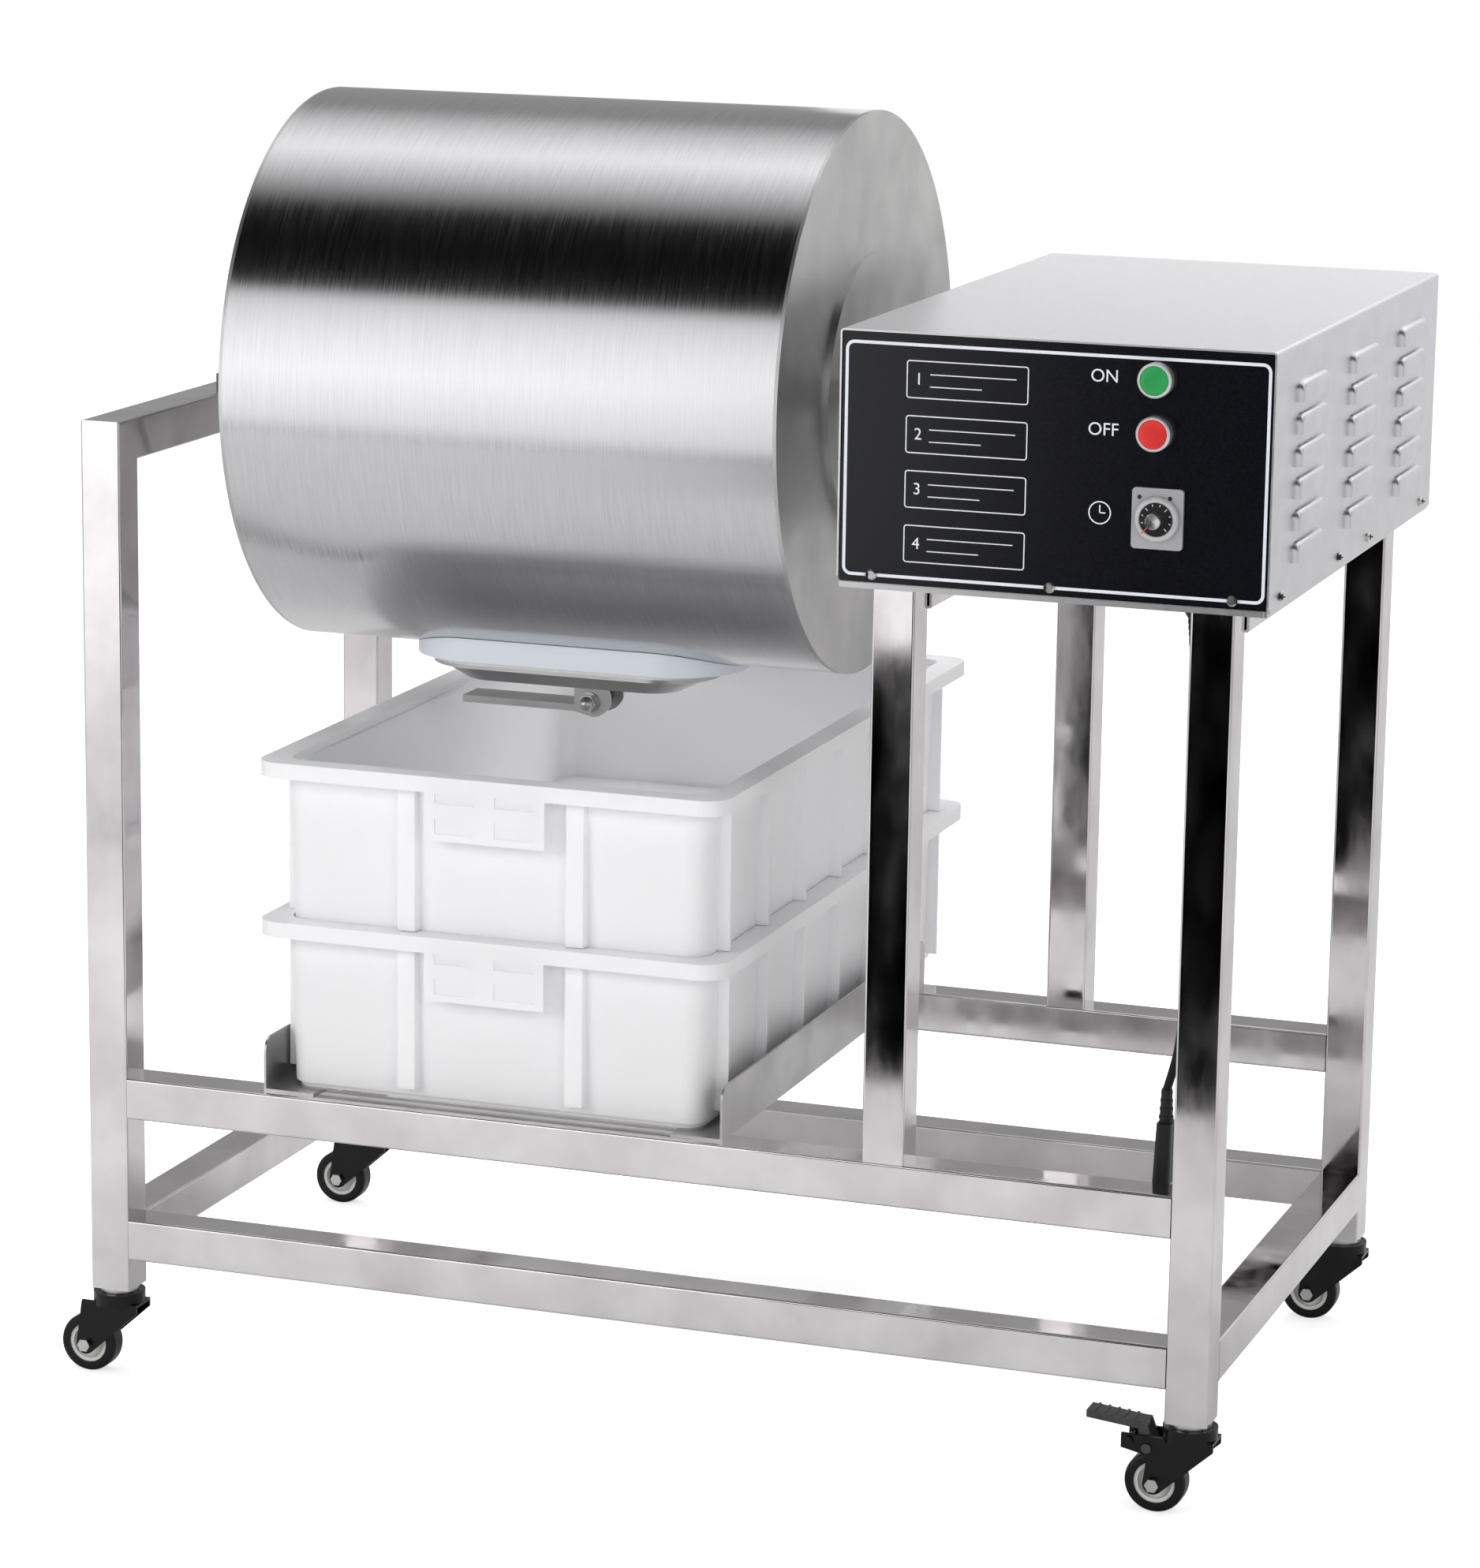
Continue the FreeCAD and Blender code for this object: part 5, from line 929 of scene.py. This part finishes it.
def level_ramp(material, source, stops):
    """Grey ramp through (share, level) stops, scaled so that BRIGHTEST is its white."""
    ramp = add_node(material, "ShaderNodeValToRGB", links={"Fac": source})
    while len(ramp.color_ramp.elements) < len(stops):
        ramp.color_ramp.elements.new(1.0)
    for element, (share, level) in zip(ramp.color_ramp.elements, stops):
        element.position = share
        element.color = (*[level / BRIGHTEST] * 3, 1)
    return ramp.outputs["Color"]


def add_card(name, corner_a, corner_b, stops):
    """Upright card parallel to X that only mirrors see, with its levels from foot to top."""
    (x0, y, z0), (x1, _, z1) = corner_a, corner_b
    mesh = bpy.data.meshes.new(name)
    mesh.from_pydata([(x0, y, z0), (x1, y, z0), (x1, y, z1), (x0, y, z1)], [], [(0, 1, 2, 3)])
    card = bpy.data.objects.new(name, mesh)
    bpy.context.scene.collection.objects.link(card)
    material, shader = surface(name + "_paint", "#000000", 1.0, Specular_IOR_Level=0.0,
                               Emission_Strength=BRIGHTEST)
    place = add_node(material, "ShaderNodeTexCoord")
    parts = add_node(material, "ShaderNodeSeparateXYZ", links={"Vector": place.outputs["Generated"]})
    material.node_tree.links.new(level_ramp(material, parts.outputs["Z"], stops), shader.inputs["Emission Color"])
    mesh.materials.append(material)
    card.visible_camera = False
    card.visible_diffuse = False
    card.visible_shadow = False
    card.visible_transmission = False


def studio_world():
    """White for the eye; for mirrors a bright front, a dark ceiling, a lit top and a dim back."""
    world = bpy.data.worlds.new("studio")
    bpy.context.scene.world = world
    world.use_nodes = True
    background = world.node_tree.nodes["Background"]
    place = add_node(world, "ShaderNodeTexCoord")
    parts = add_node(world, "ShaderNodeSeparateXYZ", links={"Vector": place.outputs["Generated"]})
    ahead = add_node(world, "ShaderNodeMath", {"operation": "MULTIPLY"}, {1: -1.0}, {0: parts.outputs["Y"]})
    angle = add_node(world, "ShaderNodeMath", {"operation": "ARCTAN2"},
                     links={0: parts.outputs["Z"], 1: ahead.outputs[0]})
    share = add_node(world, "ShaderNodeMath", {"operation": "DIVIDE"}, {1: math.pi}, {0: angle.outputs[0]})
    levels = ((0, 0.8), (36, 0.8), (38, 0.0), (75, 0.0), (94, 0.9), (108, 1.5), (124, 1.0), (142, 0.35))
    colour = level_ramp(world, share.outputs[0], [(degrees / 180, level) for degrees, level in levels])
    path = add_node(world, "ShaderNodeLightPath")
    shown = add_node(world, "ShaderNodeMix", {"data_type": "RGBA"},
                     links={"Factor": path.outputs["Is Camera Ray"]})
    world.node_tree.links.new(colour, shown.inputs[6])
    shown.inputs[7].default_value = (*[1 / BRIGHTEST] * 3, 1)
    world.node_tree.links.new(shown.outputs[2], background.inputs["Color"])
    background.inputs["Strength"].default_value = BRIGHTEST


def add_lamp(name, place, target, size, power):
    lamp = bpy.data.lights.new(name, "AREA")
    lamp.shape = "RECTANGLE"
    lamp.size, lamp.size_y = size
    lamp.energy = power
    light = bpy.data.objects.new(name, lamp)
    bpy.context.scene.collection.objects.link(light)
    light.location = place
    light.rotation_euler = (Vector(target) - Vector(place)).to_track_quat("-Z", "Y").to_euler()
    light.visible_glossy = False
    return light


class TUMBLER_OT_stage(bpy.types.Operator):
    """Set up the floor, the reflection cards, the lamps and the world"""
    bl_idname = "tumbler.stage"
    bl_label = "Studio"

    def execute(self, context):
        settings = context.scene.tumbler_stage
        half = settings.floor_size / 2
        mesh = bpy.data.meshes.new("floor")
        mesh.from_pydata([(-half, -half, 0), (half, -half, 0), (half, half, 0), (-half, half, 0)], [],
                         [(0, 1, 2, 3)])
        floor = bpy.data.objects.new("floor", mesh)
        context.scene.collection.objects.link(floor)
        mesh.materials.append(floor_paper())
        bright = ((0, 0.75), (0.12, 1.35), (0.45, 1.75), (0.7, 1.5), (1, 1.1))
        add_card("front_white", (-2.6, -2.15, 0.0), (-0.27, -2.15, 2.2), bright)
        add_card("back_white", (0.3, 2.2, 0.0), (2.4, 2.2, 3.4), ((0, 0.7), (0.45, 0.95), (0.55, 1.6), (1, 1.6)))
        add_card("back_left_white", (-0.36, 1.2, 0.9), (0.4, 1.2, 1.5), ((0, 1.05), (1, 1.15)))
        add_card("panel_dark", (-0.27, -2.1, 0.3), (0.6, -2.1, 1.15), ((0, 0.0), (1, 0.0)))
        add_card("legs_dark", (-0.2, -1.25, 0.065), (0.5, -1.25, 0.5), ((0, 0.0), (1, 0.0)))
        add_lamp("overhead", (-0.4, 0.2, 3.0), (0, 0, 0.6), (3.0, 2.0), settings.lamp_power)
        add_lamp("front_left", (-2.2, -3.0, 1.8), (0, 0, 0.5), (1.6, 1.6), settings.lamp_power)
        add_lamp("front_right", (2.6, -2.6, 1.4), (0, 0, 0.4), (1.6, 1.6), settings.lamp_power * 0.6)
        studio_world()
        context.scene.view_settings.view_transform = "Standard"
        return {"FINISHED"}


class TUMBLER_OT_camera(bpy.types.Operator):
    """Place the camera in front of the machine, to its right and a little above"""
    bl_idname = "tumbler.camera"
    bl_label = "Camera"

    def execute(self, context):
        yaw, pitch, roll = (math.radians(angle) for angle in (19.335, -12.229, 0.806))
        low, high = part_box("lower_rails")
        middle = Vector(((low[0] + high[0]) / 2, (low[1] + high[1]) / 2, 0))
        place = middle + Vector((1.4101, -4.0450, 1.4291))
        forward = Vector((-math.sin(yaw) * math.cos(pitch), math.cos(yaw) * math.cos(pitch), math.sin(pitch)))
        level = Vector((math.cos(yaw), math.sin(yaw), 0))
        upright = level.cross(forward)
        right = level * math.cos(roll) + upright * math.sin(roll)
        up = -level * math.sin(roll) + upright * math.cos(roll)
        view = bpy.data.cameras.new("camera")
        view.lens = context.scene.tumbler_stage.lens
        view.sensor_width = 36
        camera = bpy.data.objects.new("camera", view)
        context.scene.collection.objects.link(camera)
        turned = Matrix((right, up, -forward)).transposed().to_4x4()
        camera.matrix_world = Matrix.Translation(place) @ turned
        context.scene.camera = camera
        return {"FINISHED"}


# ---------------------------------------------------------------- panel in the sidebar

OPERATORS = (TUMBLER_OT_stage, TUMBLER_OT_camera, TUMBLER_OT_cord, TUMBLER_OT_finishes,
             TUMBLER_OT_markings, TUMBLER_OT_timer, TUMBLER_OT_cover_details)


class TUMBLER_PT_looks(bpy.types.Panel):
    """Sidebar panel with one button for each group of pieces"""
    bl_idname = "TUMBLER_PT_looks"
    bl_label = "Meat Tumbler"
    bl_space_type = "VIEW_3D"
    bl_region_type = "UI"
    bl_category = "Tumbler"

    def draw(self, context):
        for operator in OPERATORS:
            self.layout.operator(operator.bl_idname)


def register():
    for kind in (*SETTINGS.values(), *OPERATORS, TUMBLER_PT_looks):
        bpy.utils.register_class(kind)
    for name, kind in SETTINGS.items():
        setattr(bpy.types.Scene, name, bpy.props.PointerProperty(type=kind))


def unregister():
    for name in SETTINGS:
        delattr(bpy.types.Scene, name)
    for kind in reversed((*SETTINGS.values(), *OPERATORS, TUMBLER_PT_looks)):
        bpy.utils.unregister_class(kind)


def main():
    register()
    for operator in OPERATORS:
        group, name = operator.bl_idname.split(".")
        getattr(getattr(bpy.ops, group), name)()
    bpy.context.view_layer.update()


if __name__ == "__main__":
    main()
